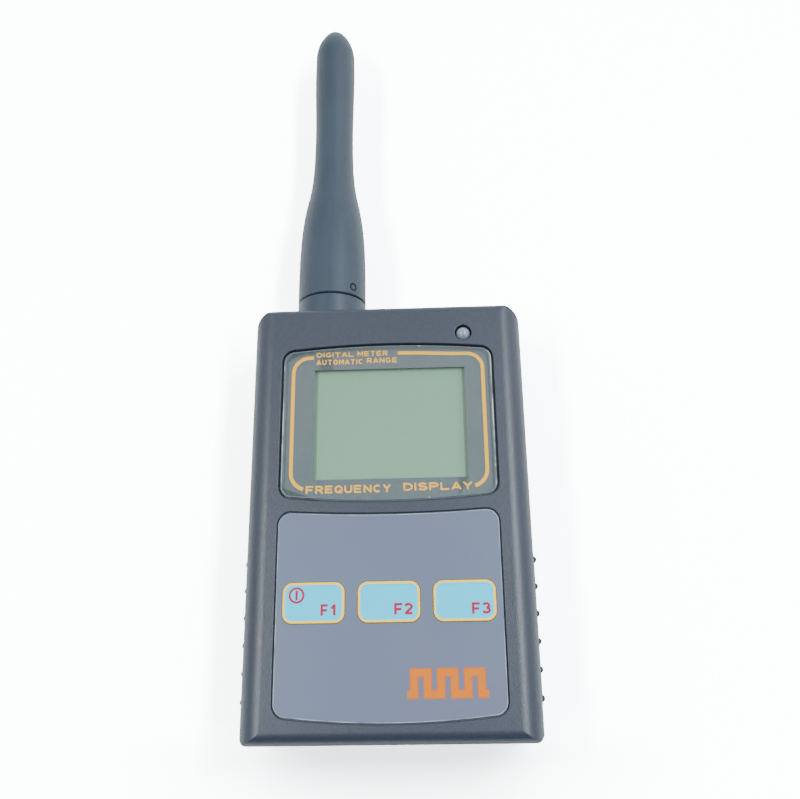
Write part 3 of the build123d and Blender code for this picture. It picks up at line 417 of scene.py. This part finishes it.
def led_epoxy():
    """Diffused clear epoxy, smooth enough to show the lamps as two bright spots."""
    recipe = Recipe("led_epoxy", ior=1.52, coat=0.5, coat_roughness=0.06)
    haze = recipe.noise(0.9, 3)
    recipe.set("Base Color", recipe.blend(haze, srgb(104, 116, 128), srgb(134, 145, 155)))
    recipe.set("Transmission Weight", 0.2)
    recipe.set("Roughness", recipe.remap(haze, 0.3, 0.7, 0.12, 0.22))
    return recipe.material


def metal(name, colour, roughness, stretch=(1, 1, 1)):
    """Plated or drawn metal with faint tool marks and tarnish."""
    recipe = Recipe(name, metallic=1.0)
    marks = recipe.noise(0.4, 3, stretch=stretch)
    tarnish = recipe.noise(2.5, 4)
    recipe.set("Base Color", recipe.shades(recipe.remap(tarnish, 0.35, 0.75), colour, 1.0, 0.78))
    recipe.set("Roughness", recipe.remap(marks, 0.3, 0.7, roughness * 0.75, roughness * 1.3))
    recipe.bump([(marks, 0.01)])
    return recipe.material


def moulded(name, colour, roughness, grain=0.4, spread=0.12):
    """Moulded plastic, rubber or epoxy with a slight grain and uneven tone."""
    recipe = Recipe(name)
    cloud = recipe.noise(3.5, 3)
    fine = recipe.noise(grain, 2)
    recipe.set("Base Color", recipe.shades(cloud, colour, 1 - spread, 1 + spread))
    recipe.set("Roughness", recipe.remap(fine, 0.3, 0.7, roughness * 0.88, min(1.0, roughness * 1.15)))
    recipe.bump([(fine, 0.015)])
    return recipe.material


def board_laminate():
    """Green solder mask, paler over broken copper tracks."""
    recipe = Recipe("board_laminate", ior=1.55, coat=0.4, coat_roughness=0.15)
    pitch = 2.4
    steps = recipe.vector("SNAP", recipe.place, (pitch, pitch, pitch))
    shifted = recipe.vector("SUBTRACT", recipe.place, steps)
    lane = recipe.math("ABSOLUTE", recipe.math("SUBTRACT", recipe.axis(0, shifted), pitch / 2))
    broken = recipe.remap(recipe.noise(7, 1), 0.48, 0.52)
    track = recipe.math("MULTIPLY", recipe.remap(lane, 0.3, 0.36, 1, 0), broken)
    tone = recipe.blend(recipe.noise(12, 3), srgb(14, 74, 38), srgb(20, 92, 48))
    recipe.set("Base Color", recipe.blend(track, tone, srgb(38, 128, 66)))
    recipe.set("Roughness", recipe.remap(recipe.noise(0.4, 2), 0.3, 0.7, 0.3, 0.42))
    recipe.bump([(track, 0.03)])
    return recipe.material


def rating_film():
    """Silver-grey printed polyester with a brushed look."""
    recipe = Recipe("rating_film", roughness=0.4, metallic=0.25)
    brush = recipe.noise(0.5, 4, stretch=(0.04, 1, 1))
    recipe.set("Base Color", recipe.blend(brush, srgb(150, 153, 156), srgb(186, 188, 190)))
    recipe.set("Roughness", recipe.remap(brush, 0.3, 0.7, 0.34, 0.5))
    recipe.bump([(brush, 0.005)])
    return recipe.material


def cell_wrap():
    """A shrink-wrapped cell: blue film with a yellow band of tape at each end."""
    recipe = Recipe("cell_wrap", coat=0.3, coat_roughness=0.2)
    low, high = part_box("battery_pack")
    along = recipe.axis(1)
    starts, covers = 4, 3.8
    upper = recipe.remap(along, high.y / MM - starts, high.y / MM - covers)
    lower = recipe.remap(along, low.y / MM + covers, low.y / MM + starts, 1, 0)
    band = recipe.math("MAXIMUM", upper, lower)
    folds = recipe.noise(2.2, 3, stretch=(1, 0.2, 1))
    tone = recipe.blend(folds, srgb(46, 96, 158), srgb(62, 118, 184))
    recipe.set("Base Color", recipe.blend(band, tone, srgb(205, 186, 120)))
    recipe.set("Roughness", recipe.remap(folds, 0.3, 0.7, 0.26, 0.4))
    recipe.bump([(folds, 0.06)])
    return recipe.material


def dress_nodes():
    """Gives every CAD node its material."""
    tin = metal("tinned_metal", srgb(198, 198, 194), 0.35)
    nickel = metal("nickel_plate", srgb(202, 198, 188), 0.22, stretch=(1, 6, 1))
    gold = metal("gold_plate", srgb(226, 188, 106), 0.2)
    case = case_plastic()
    grip = grip_rubber()
    chip = moulded("chip_epoxy", srgb(38, 38, 40), 0.55)
    switch = moulded("switch_plastic", srgb(30, 30, 32), 0.45)
    connector = moulded("connector_nylon", srgb(226, 220, 200), 0.4)
    ptfe = moulded("ptfe", srgb(232, 231, 226), 0.45)
    finishes = {
        "front_case": case,
        "rear_case": case,
        "side_grip_left": grip,
        "side_grip_right": grip,
        "case_screws": metal("black_oxide", srgb(58, 58, 60), 0.4),
        "board_screws": tin,
        "rating_label": rating_film(),
        "window_lens": clear_pane(),
        "lens_mask": mask_print(),
        "keypad_overlay": label_film(),
        "switch_bodies": switch,
        "switch_domes": metal("spring_steel", srgb(190, 190, 192), 0.25),
        "status_led": led_epoxy(),
        "led_leads": tin,
        "main_board": board_laminate(),
        "lcd_frame": moulded("frame_plastic", srgb(222, 222, 214), 0.5),
        "lcd_backlight": moulded("light_guide", srgb(220, 228, 222), 0.2, 0.8),
        "lcd_glass": moulded("display_glass", srgb(120, 136, 124), 0.12, 1.5),
        "lcd_polarizer": display_film(),
        "zebra_strips": moulded("contact_rubber", srgb(206, 160, 170), 0.6),
        "controller_chip": chip,
        "prescaler_chip": chip,
        "voltage_regulator": chip,
        "rf_shield": tin,
        "crystal_oscillator": metal("can_steel", srgb(196, 196, 198), 0.28),
        "capacitors": metal("can_aluminium", srgb(206, 208, 212), 0.3),
        "small_components": moulded("ceramic", srgb(166, 138, 104), 0.5),
        "battery_pad": moulded("foam", srgb(60, 60, 62), 0.95, 0.25, 0.2),
        "battery_pack": cell_wrap(),
        "battery_leads": moulded("lead_insulation", srgb(178, 28, 24), 0.4),
        "battery_plug": connector,
        "battery_socket": connector,
        "dc_jack_body": moulded("jack_plastic", srgb(26, 26, 28), 0.42),
        "dc_jack_contacts": tin,
        "antenna_collar": collar_plastic(),
        "jack_body": nickel,
        "jack_insulator": ptfe,
        "jack_contact": gold,
        "jack_nut": nickel,
        "jack_lock_washer": nickel,
        "ground_lug": tin,
        "antenna_sleeve": antenna_rubber(),
        "coupling_ring": nickel,
        "spring_washer": metal("spring_bronze", srgb(190, 140, 84), 0.25),
        "plug_gasket": moulded("gasket_silicone", srgb(176, 84, 58), 0.6),
        "plug_body": nickel,
        "plug_insulator": ptfe,
        "plug_pin": gold,
        "antenna_core": moulded("glass_fibre", srgb(206, 200, 160), 0.45, 0.2),
        "antenna_coil": metal("enamelled_copper", srgb(196, 108, 62), 0.3),
    }
    for key in ("f1", "f2", "f3"):
        finishes[f"key_{key}"] = key_film(f"key_{key}")
        finishes[f"switch_stem_{key}"] = switch
    for name, node in NODES.items():
        for slot in node.material_slots:
            slot.material = finishes[name]


# ---- Geometry helpers ----
def add_mesh(name, mesh, material, body):
    """Links a mesh as a piece of the object that rides on a CAD body."""
    mesh.materials.clear()
    mesh.materials.append(material)
    piece = bpy.data.objects.new(name, mesh)
    bpy.context.scene.collection.objects.link(piece)
    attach(piece, body)
    return piece


def top_outline(node):
    """The outer edge of a CAD node's highest flat face, in order, as points in millimetres."""
    mesh = NODES[node].data
    top = max(vertex.co.z for vertex in mesh.vertices)
    counts = {}
    for polygon in mesh.polygons:
        corners = [mesh.vertices[index].co for index in polygon.vertices]
        if polygon.normal.z < 0.99 or min(corner.z for corner in corners) < top - CLOSE:
            continue
        keys = [(round(corner.x / MM, 4), round(corner.y / MM, 4)) for corner in corners]
        for start, end in zip(keys, keys[1:] + keys[:1]):
            counts[(start, end)] = counts.get((start, end), 0) + 1
    onward = {start: end for start, end in counts if (end, start) not in counts}
    loops = []
    while onward:
        start, following = onward.popitem()
        loop = [start]
        while following != start:
            loop.append(following)
            following = onward.pop(following)
        loops.append(loop)
    longest = max(loops, key=lambda loop: max(x for x, _ in loop) - min(x for x, _ in loop))
    return [Vector((x, y, 0)) for x, y in longest], top / MM


def side_steps(points, closed):
    """For each point of a line, the vector to its left that keeps a strip's width even."""
    count = len(points)
    sharpest = 0.4  # keeps a sharp corner from reaching far out
    steps = []
    for index, point in enumerate(points):
        before = points[index - 1] if closed or index > 0 else point
        after = points[(index + 1) % count] if closed or index < count - 1 else point
        back = (point - before).normalized() if before != point else (after - point).normalized()
        ahead = (after - point).normalized() if after != point else back
        left_back = Vector((-back.y, back.x, 0))
        left_ahead = Vector((-ahead.y, ahead.x, 0))
        middle = (left_back + left_ahead).normalized()
        steps.append(middle / max(middle.dot(left_back), sharpest))
    return steps


def ribbons(name, lines, left, right, bottom, top, material, body):
    """Flat strips with square edges along lines, as one piece, in millimetres.

    A line that ends where it starts is closed. Each next strip is a hair thinner, so that no
    two faces lie in one plane where strips cross.
    """
    vertices = []
    faces = []
    for order, line in enumerate(lines):
        closed = len(line) > 2 and (Vector(line[0]) - Vector(line[-1])).length < CLOSE
        points = [Vector((x, y, 0)) for x, y in (line[:-1] if closed else line)]
        first = len(vertices)
        fine = order % 3 * HAIR
        for point, step in zip(points, side_steps(points, closed)):
            upper, lower = top - fine, bottom + fine
            for across, height in ((left, upper), (right, upper), (right, lower), (left, lower)):
                place = point + step * across
                vertices.append(Vector((place.x, place.y, height)) * MM)
        count = len(points)
        for index in range(count if closed else count - 1):
            here = first + index * 4
            there = first + (index + 1) % count * 4
            for side in range(4):
                after = (side + 1) % 4
                faces.append((here + side, there + side, there + after, here + after))
        if not closed:
            last = first + (count - 1) * 4
            faces.append((first, first + 1, first + 2, first + 3))
            faces.append((last + 3, last + 2, last + 1, last))
    mesh = bpy.data.meshes.new(name)
    mesh.from_pydata(vertices, [], faces)
    tidy_normals(mesh)
    add_mesh(name, mesh, material, body)


def strip(name, points, left, right, bottom, top, material, body, closed=False):
    """One flat strip along a line, from left to right of it."""
    line = [tuple(point[:2]) for point in points]
    if closed:
        line.append(line[0])
    ribbons(name, [line], left, right, bottom, top, material, body)


def tidy_normals(mesh):
    """Turns all of a closed mesh's faces outwards."""
    build = bmesh.new()
    build.from_mesh(mesh)
    bmesh.ops.recalc_face_normals(build, faces=build.faces)
    build.to_mesh(mesh)
    build.free()


def oval(centre, radii, start, end, steps=12):
    """Points on an oval's edge between two angles in degrees."""
    turns = [math.radians(start + (end - start) * step / steps) for step in range(steps + 1)]
    return [(centre[0] + radii[0] * math.cos(t), centre[1] + radii[1] * math.sin(t)) for t in turns]


def arc(centre, radius, start, end, steps=12):
    """Points on a round arc between two angles in degrees."""
    return oval(centre, (radius, radius), start, end, steps)


# Each letter's strokes, with its middle lines in a box one unit wide and one unit high.
ROUND = oval((0.5, 0.5), (0.5, 0.5), 90, 450, 24)
STEM_AND_BOWL = [(0, -0.12), (0, 1), (0.5, 1)]
STEM_AND_BOWL += oval((0.5, 0.73), (0.48, 0.27), 80, -80, 8)
STEM_AND_BOWL += [(0.5, 0.46), (0.1, 0.46)]
WIDE_BOWL = oval((0.42, 0.5), (0.58, 0.5), 80, -80, 12)
UPPER_BEND = oval((0.5, 0.75), (0.46, 0.25), 25, 270, 14)
LOWER_BEND = oval((0.5, 0.25), (0.5, 0.25), 85, -155, 14)
STROKES = {
    "A": [[(-0.04, -0.08), (0.46, 1), (0.54, 1), (1.04, -0.08)], [(0.2, 0.27), (0.8, 0.27)]],
    "C": [oval((0.52, 0.5), (0.52, 0.5), 48, 312, 18)],
    "D": [[(0, 0), (0, 1), (0.42, 1), *WIDE_BOWL, (0.42, 0), (-0.1, 0)]],
    "E": [[(1.04, 1), (0, 1), (0, 0), (1.04, 0)], [(0, 0.51), (0.94, 0.51)]],
    "F": [[(1.04, 1), (0, 1), (0, -0.12)], [(0, 0.46), (0.9, 0.46)]],
    "G": [[*oval((0.52, 0.5), (0.52, 0.5), 50, 320, 18), (0.98, 0.42), (0.55, 0.42)]],
    "I": [[(0, -0.12), (0, 1.12)]],
    "L": [[(0, 1.12), (0, 0), (1.0, 0)]],
    "M": [[(0, -0.12), (0, 1.12)], [(1, -0.12), (1, 1.12)], [(0.04, 0.98), (0.5, 0.3), (0.96, 0.98)]],
    "N": [[(0, -0.12), (0, 1.12)], [(1, -0.12), (1, 1.12)], [(0.02, 1), (0.98, 0)]],
    "O": [ROUND],
    "P": [STEM_AND_BOWL],
    "Q": [ROUND, [(0.58, 0.3), (1.02, -0.12)]],
    "R": [STEM_AND_BOWL, [(0.45, 0.42), (1.02, -0.1)]],
    "S": [UPPER_BEND + LOWER_BEND],
    "T": [[(-0.03, 1), (1.03, 1)], [(0.5, 1), (0.5, -0.12)]],
    "U": [[(0, 1.12), (0, 0.4), *oval((0.5, 0.4), (0.5, 0.4), 190, 350, 12), (1, 0.4), (1, 1.12)]],
    "Y": [[(-0.02, 1.1), (0.5, 0.45), (1.02, 1.1)], [(0.5, 0.5), (0.5, -0.12)]],
    "1": [[(0.75, -0.1), (0.75, 1.1)], [(0.1, 0.66), (0.42, 0.76), (0.66, 1.04)]],
    "2": [[*oval((0.48, 0.71), (0.48, 0.29), 165, -28, 14), (0.1, 0.04)], [(-0.06, 0), (1.06, 0)]],
    "3": [
        oval((0.47, 0.76), (0.44, 0.24), 160, -88, 14),
        oval((0.47, 0.26), (0.5, 0.26), 88, -160, 16),
    ],
}
WIDTHS = {"I": 0.0, "M": 1.2, "1": 0.85}  # the other letters are 1 wide


def lettering(name, text, start, size, half, spacing, bottom, material, body):
    """One word of bold strokes, of a size in millimetres.

    Half a stroke is half wide, and the letters' middle lines are spacing times that apart.
    """
    width, height = size
    gap = spacing * half
    units = sum(WIDTHS.get(letter, 1.0) for letter in text)
    unit = (width - gap * (len(text) - 1) - 2 * half) / units
    x, y = start[0] + half, start[1] + half
    lines = []
    for letter in text:
        across = unit * WIDTHS.get(letter, 1.0)
        for stroke in STROKES[letter]:
            lines.append([(x + u * across, y + v * (height - 2 * half)) for u, v in stroke])
        x += across + gap
    ribbons(name, lines, half, -half, bottom, bottom + INK_LIFT, material, body)


# ---- Printed detail ----
def lens_print():
    """The gold line with two gaps, and the generic words that fill them.

    All of it is placed from the line's own left, right, top and bottom.
    """
    low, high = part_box("window_lens")
    left, right = low.x / MM + 2.5, high.x / MM - 2.43
    top, bottom = high.y / MM - 1.93, low.y / MM + 3.9
    floor = low.z / MM + 0.01
    gold = ink("ink_gold", INK_GOLD)
    half = 0.46
    upper_left = [(left + 5.3, top - 0.72)]
    upper_left += arc((left + 4.3, top - 5.1), 4.3, 90, 180)
    upper_left += arc((left + 4.4, bottom + 3.9), 4.4, 180, 254)
    strip("border_line_left", upper_left, half, -half, floor, floor + INK_LIFT, gold, "case")
    middle = (left + right) / 2
    lower_right = [(middle + 2.7, top + 0.03), (middle + 9.0, top - 0.12), (middle + 16.5, top - 0.5)]
    lower_right += arc((right - 4.0, top - 4.6), 4.0, 86, 0)
    lower_right += arc((right - 4.4, bottom + 3.9), 4.4, 0, -74)
    strip("border_line_right", lower_right, half, -half, floor, floor + INK_LIFT, gold, "case")
    # Each word's name, text, size, half stroke, spacing and lower left corner.
    words = (
        ("words_digital", "DIGITAL", (9.9, 1.35), 0.135, 4.4, left + 6.05, top - 0.7),
        ("words_meter", "METER", (8.0, 1.35), 0.135, 4.4, left + 16.8, top - 0.57),
        ("words_automatic", "AUTOMATIC", (12.2, 1.4), 0.14, 4.2, left + 6.05, top - 2.8),
        ("words_range", "RANGE", (8.0, 1.4), 0.14, 4.4, left + 19.3, top - 2.6),
        ("words_frequency", "FREQUENCY", (21.4, 2.0), 0.22, 3.9, left + 3.9, bottom - 1.55),
        ("words_display", "DISPLAY", (17.3, 2.0), 0.22, 3.9, left + 28.4, bottom - 1.3),
    )
    for name, text, size, stroke, spacing, x, y in words:
        lettering(name, text, (x, y), size, stroke, spacing, floor, gold, "case")


def panel_mark():
    """A generic square-wave symbol in the keypad panel's lower right corner."""
    low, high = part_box("keypad_overlay")
    floor = high.z / MM
    start_x, base_y = high.x / MM - 23.0, low.y / MM + 6.1
    pulses, rise, run, width = 3, 4.8, 3.12, 1.6
    points = [(start_x, base_y)]
    for pulse in range(pulses):
        x = start_x + (2 * pulse + 0.5) * run
        points += [(x, base_y), (x, base_y + rise), (x + run, base_y + rise), (x + run, base_y)]
    points.append((start_x + 2 * pulses * run, base_y))
    fill = ink("ink_orange", INK_ORANGE)
    edge = ink("ink_orange_edge", INK_ORANGE_EDGE)
    half, margin = width / 2, 0.2
    outer = half + margin
    edge_lift, fill_lift = 0.008, 0.016
    strip("wave_mark_edge", points, outer, -outer, floor, floor + edge_lift, edge, "case")
    strip("wave_mark", points, half, -half, floor, floor + fill_lift, fill, "case")


def key_legends():
    """Red key numbers, and the power symbol on the first key."""
    red = ink("ink_red", INK_RED, gloss=0.4)
    # Each key, its number's distance from the key's right and lower edges, and its width.
    legends = (("f1", 5.7, 1.75, 3.9), ("f2", 6.2, 1.75, 4.5), ("f3", 5.85, 1.6, 4.5))
    height, half, spacing = 2.7, 0.3, 2.6
    for key, from_right, from_bottom, width in legends:
        low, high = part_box(f"key_{key}")
        start = (high.x / MM - from_right, low.y / MM + from_bottom)
        size, top = (width, height), high.z / MM
        lettering(f"legend_{key}", key.upper(), start, size, half, spacing, top, red, f"key_{key}")
    low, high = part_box("key_f1")
    x, y, floor = low.x / MM + 3.4, high.y / MM - 3.0, high.z / MM
    top = floor + INK_LIFT
    ring_radius, ring_half = 1.66, 0.26
    ring = arc((x, y), ring_radius, 0, 345, 46)
    strip("power_ring", ring, ring_half, -ring_half, floor, top, red, "key_f1", closed=True)
    bar_reach, bar_half = 1.15, 0.3
    bar = [(x, y - bar_reach), (x, y + bar_reach)]
    strip("power_bar", bar, bar_half, -bar_half, floor, top, red, "key_f1")


def rims():
    """The cut edges of the lens and of the keypad film, painted bright as highlights."""
    outline, top = top_outline("window_lens")
    acrylic = rim_acrylic_painted_highlight()
    strip("lens_rim", outline, 0.24, 0.0, top - 0.22, top - 0.02, acrylic, "case", closed=True)
    outline, top = top_outline("keypad_overlay")
    film = film_edge_painted_highlight()
    strip("film_rim", outline, 0.2, 0.02, top - 0.2, top + 0.01, film, "case", closed=True)


# ---- Hidden detail ----
def antenna_winding():
    """The antenna's close-wound coil as one round wire, inside its CAD tube."""
    low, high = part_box("antenna_coil")
    centre = (low + high) / 2
    wire = 0.3 * MM  # the wire's radius
    radius = (high.x - low.x) / 2 - wire
    turns, steps = 56, 16  # so many steps in each turn
    length = high.y - low.y - 2 * wire
    curve = bpy.data.curves.new("antenna_winding", "CURVE")
    curve.dimensions = "3D"
    curve.bevel_depth = wire
    curve.bevel_resolution = 2
    curve.use_fill_caps = True
    spline = curve.splines.new("POLY")
    spline.points.add(turns * steps)
    for index, point in enumerate(spline.points):
        turn = index / steps * math.tau
        along = low.y + wire + length * index / (turns * steps)
        point.co = (centre.x + radius * math.cos(turn), along, centre.z + radius * math.sin(turn), 1)
    draft = bpy.data.objects.new("winding_draft", curve)
    bpy.context.scene.collection.objects.link(draft)
    bpy.context.view_layer.update()
    mesh = bpy.data.meshes.new_from_object(draft)
    bpy.data.objects.remove(draft)
    mesh.shade_smooth()
    copper = metal("copper_wire", srgb(196, 108, 62), 0.3)
    piece = add_mesh("antenna_winding", mesh, copper, "antenna")
    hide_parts("antenna_coil")


def turned(name, profile, centre, base, material, body):
    """A piece turned about an upright axis from (radius, height) points, in millimetres."""
    segments = 24
    vertices = []
    faces = []
    for radius, height in profile:
        for segment in range(segments):
            turn = segment / segments * math.tau
            x = centre.x + radius * math.cos(turn)
            y = centre.y + radius * math.sin(turn)
            vertices.append(Vector((x, y, base + height)) * MM)
    for ring in range(len(profile) - 1):
        lower, upper = ring * segments, (ring + 1) * segments
        for segment in range(segments):
            after = (segment + 1) % segments
            faces.append((lower + segment, lower + after, upper + after, upper + segment))
    faces.append(tuple(reversed(range(segments))))
    faces.append(tuple(range(len(vertices) - segments, len(vertices))))
    mesh = bpy.data.meshes.new(name)
    mesh.from_pydata(vertices, [], faces)
    tidy_normals(mesh)
    add_mesh(name, mesh, material, body)


def light_die():
    """The reflector cup with its dish, and the post beside it, inside the status light."""
    low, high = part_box("status_led")
    centre = (low + high) / 2 / MM
    steel = metal("lead_frame", srgb(206, 206, 202), 0.25)
    base = low.z / MM + 0.2
    cup = [(0.26, 0), (0.28, 1.7), (0.5, 2.3), (0.5, 3.1), (0.4, 3.1), (0.2, 2.8), (0.12, 2.78)]
    turned("light_cup", cup, centre + Vector((-0.5, 0, 0)), base, steel, "case")
    post = [(0.17, 0), (0.17, 2.5), (0.32, 2.9), (0.32, 3.15), (0.2, 3.25)]
    turned("light_post", post, centre + Vector((0.6, 0, 0)), base, steel, "case")


def rating_rules():
    """A thin frame and blank ruled fields on the rear label."""
    low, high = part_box("rating_label")
    dark = ink("ink_grey", srgb(70, 72, 76))
    margin = 1.6
    left, right = low.x / MM + margin, high.x / MM - margin
    bottom, top = low.y / MM + margin, high.y / MM - margin
    under = low.z / MM
    border = [(left, bottom), (right, bottom), (right, top), (left, top)]
    strip("rating_frame", border, 0.12, -0.12, under - INK_LIFT, under, dark, "case", closed=True)
    for rule in range(3):
        y = bottom + (top - bottom) * (rule + 1) / 4
        line = [(left + 2, y), (right - 2, y)]
        strip(f"rating_rule_{rule}", line, 0.08, -0.08, under - INK_LIFT, under, dark, "case")


# ---- Stage ----
FLOOR_SIZE = 3.0               # metres
FLOOR_DROP = 0.00005           # metres under the object, so that no faces coincide
FLOOR_SHADE = (0.80, 0.815, 0.805)
FLOOR_GLARE = 7.6              # how much brighter the floor looks than it lights
FLOOR_MIRRORED = 1.35          # how much brighter the object mirrors it
SHADE_REACH = 0.045            # metres from the object that its shade on the floor covers
SHADE_LEAN = (0.2, 0.8, 0.55)  # the way the shader looks for the object
SHADE_SEEN = 2.2               # how strong the shade looks
SHADE_LIT = 7.0                # how strongly it dims the floor's light on the object
ROOM_TINT = (0.92, 0.97, 1.0)
ROOM_GLARE = 13.5              # how bright the room looks to the camera
# Each lamp's name, place, size, power and tint, in metres and watts.
LAMPS = (
    ("left_light", (-0.44, -0.03, 0.80), (0.12, 0.48), 7.2, (0.94, 0.98, 1.0)),
    ("right_light", (0.47, 0.07, 0.87), (0.12, 0.66), 12.0, (0.86, 0.94, 1.0)),
)


def floor_material():
    """Matt pale paper that looks nearly white, with a soft shade below the object's lower end."""
    recipe = Recipe("floor_paper", roughness=0.9)
    nodes, links = recipe.nodes, recipe.links
    nodes.remove(recipe.shader)
    tone = recipe.shades(recipe.noise(400, 2), FLOOR_SHADE, 0.985, 1.0)
    shade = nodes.new("ShaderNodeAmbientOcclusion")
    shade.inputs["Distance"].default_value = SHADE_REACH
    shade.inputs["Normal"].default_value = SHADE_LEAN
    # 1 below the object's lower end and 0 beside it, where the photo shows no shade.
    below = recipe.remap(recipe.axis(1), cad_low.y / MM - 5, cad_low.y / MM + 3, 1, 0)
    soft = recipe.math("POWER", shade.outputs["AO"], recipe.math("MULTIPLY", below, SHADE_SEEN))
    bright = recipe.vector("MULTIPLY", tone, (FLOOR_GLARE,) * 3)
    path = nodes.new("ShaderNodeLightPath")
    mirrored = recipe.remap(path.outputs["Is Glossy Ray"], 0, 1, 1, FLOOR_MIRRORED)
    lit = nodes.new("ShaderNodeBsdfDiffuse")
    seen = nodes.new("ShaderNodeBsdfDiffuse")
    lit_tone = recipe.vector("MULTIPLY", tone, mirrored)
    deep = recipe.math("POWER", shade.outputs["AO"], recipe.math("MULTIPLY", below, SHADE_LIT))
    links.new(recipe.vector("MULTIPLY", lit_tone, deep), lit.inputs["Color"])
    links.new(recipe.vector("MULTIPLY", bright, soft), seen.inputs["Color"])
    mix = nodes.new("ShaderNodeMixShader")
    links.new(path.outputs["Is Camera Ray"], mix.inputs[0])
    links.new(lit.outputs[0], mix.inputs[1])
    links.new(seen.outputs[0], mix.inputs[2])
    links.new(mix.outputs[0], nodes["Material Output"].inputs["Surface"])
    return recipe.material


def make_floor():
    """A wide round floor just under the object."""
    build = bmesh.new()
    bmesh.ops.create_circle(build, cap_ends=True, segments=96, radius=FLOOR_SIZE)
    bmesh.ops.translate(build, verts=build.verts, vec=(0, 0, cad_low.z - FLOOR_DROP))
    mesh = bpy.data.meshes.new("floor")
    build.to_mesh(mesh)
    build.free()
    mesh.materials.append(floor_material())
    floor = bpy.data.objects.new("floor", mesh)
    bpy.context.scene.collection.objects.link(floor)


def softbox(name, place, size, power, tint):
    """A long lamp that leans towards the object, its length along the Y axis."""
    data = bpy.data.lights.new(name, "AREA")
    data.shape = "RECTANGLE"
    data.size, data.size_y = size
    data.energy = power
    data.color = tint
    lamp = bpy.data.objects.new(name, data)
    lamp.location = place
    lamp.rotation_euler = (0, math.atan2(place[0], place[2]), 0)
    bpy.context.scene.collection.objects.link(lamp)


def make_light():
    """Two long lamps beside the object, and a pale room.

    The room is brighter ahead of the antenna, to the right and at both sides.
    """
    for lamp in LAMPS:
        softbox(*lamp)
    world = bpy.data.worlds.new("room")
    bpy.context.scene.world = world
    world.use_nodes = True
    nodes, links = world.node_tree.nodes, world.node_tree.links
    room = nodes["Background"]
    place = nodes.new("ShaderNodeTexCoord")
    split = nodes.new("ShaderNodeSeparateXYZ")
    links.new(place.outputs["Generated"], split.inputs[0])

    def ramp(value, low, high, out_low, out_high):
        """The value's range from low to high eased into another range."""
        node = nodes.new("ShaderNodeMapRange")
        node.interpolation_type = "SMOOTHSTEP"
        numbers = (low, high, out_low, out_high)
        for name, number in zip(("From Min", "From Max", "To Min", "To Max"), numbers):
            node.inputs[name].default_value = number
        links.new(value, node.inputs["Value"])
        return node.outputs["Result"]

    def math_node(operation, first, second=None):
        node = nodes.new("ShaderNodeMath")
        node.operation = operation
        links.new(first, node.inputs[0])
        if second:
            links.new(second, node.inputs[1])
        return node.outputs[0]

    ahead = ramp(split.outputs["Y"], -0.45, 0.8, 0.1, 1.5)
    across = ramp(split.outputs["X"], -0.6, 0.5, 0.72, 1.3)
    sides = ramp(math_node("ABSOLUTE", split.outputs["X"]), 0.5, 0.95, 0.0, 0.7)
    strength = math_node("ADD", math_node("MULTIPLY", ahead, across), sides)
    room.inputs["Color"].default_value = (*ROOM_TINT, 1)
    links.new(strength, room.inputs["Strength"])
    seen = nodes.new("ShaderNodeBackground")
    seen.inputs["Color"].default_value = (*FLOOR_SHADE, 1)
    seen.inputs["Strength"].default_value = ROOM_GLARE
    path = nodes.new("ShaderNodeLightPath")
    mix = nodes.new("ShaderNodeMixShader")
    links.new(path.outputs["Is Camera Ray"], mix.inputs[0])
    links.new(room.outputs[0], mix.inputs[1])
    links.new(seen.outputs[0], mix.inputs[2])
    links.new(mix.outputs[0], nodes["World Output"].inputs["Surface"])


make_camera()
make_floor()
make_light()
dress_nodes()
rims()
lens_print()
panel_mark()
key_legends()
antenna_winding()
light_die()
rating_rules()
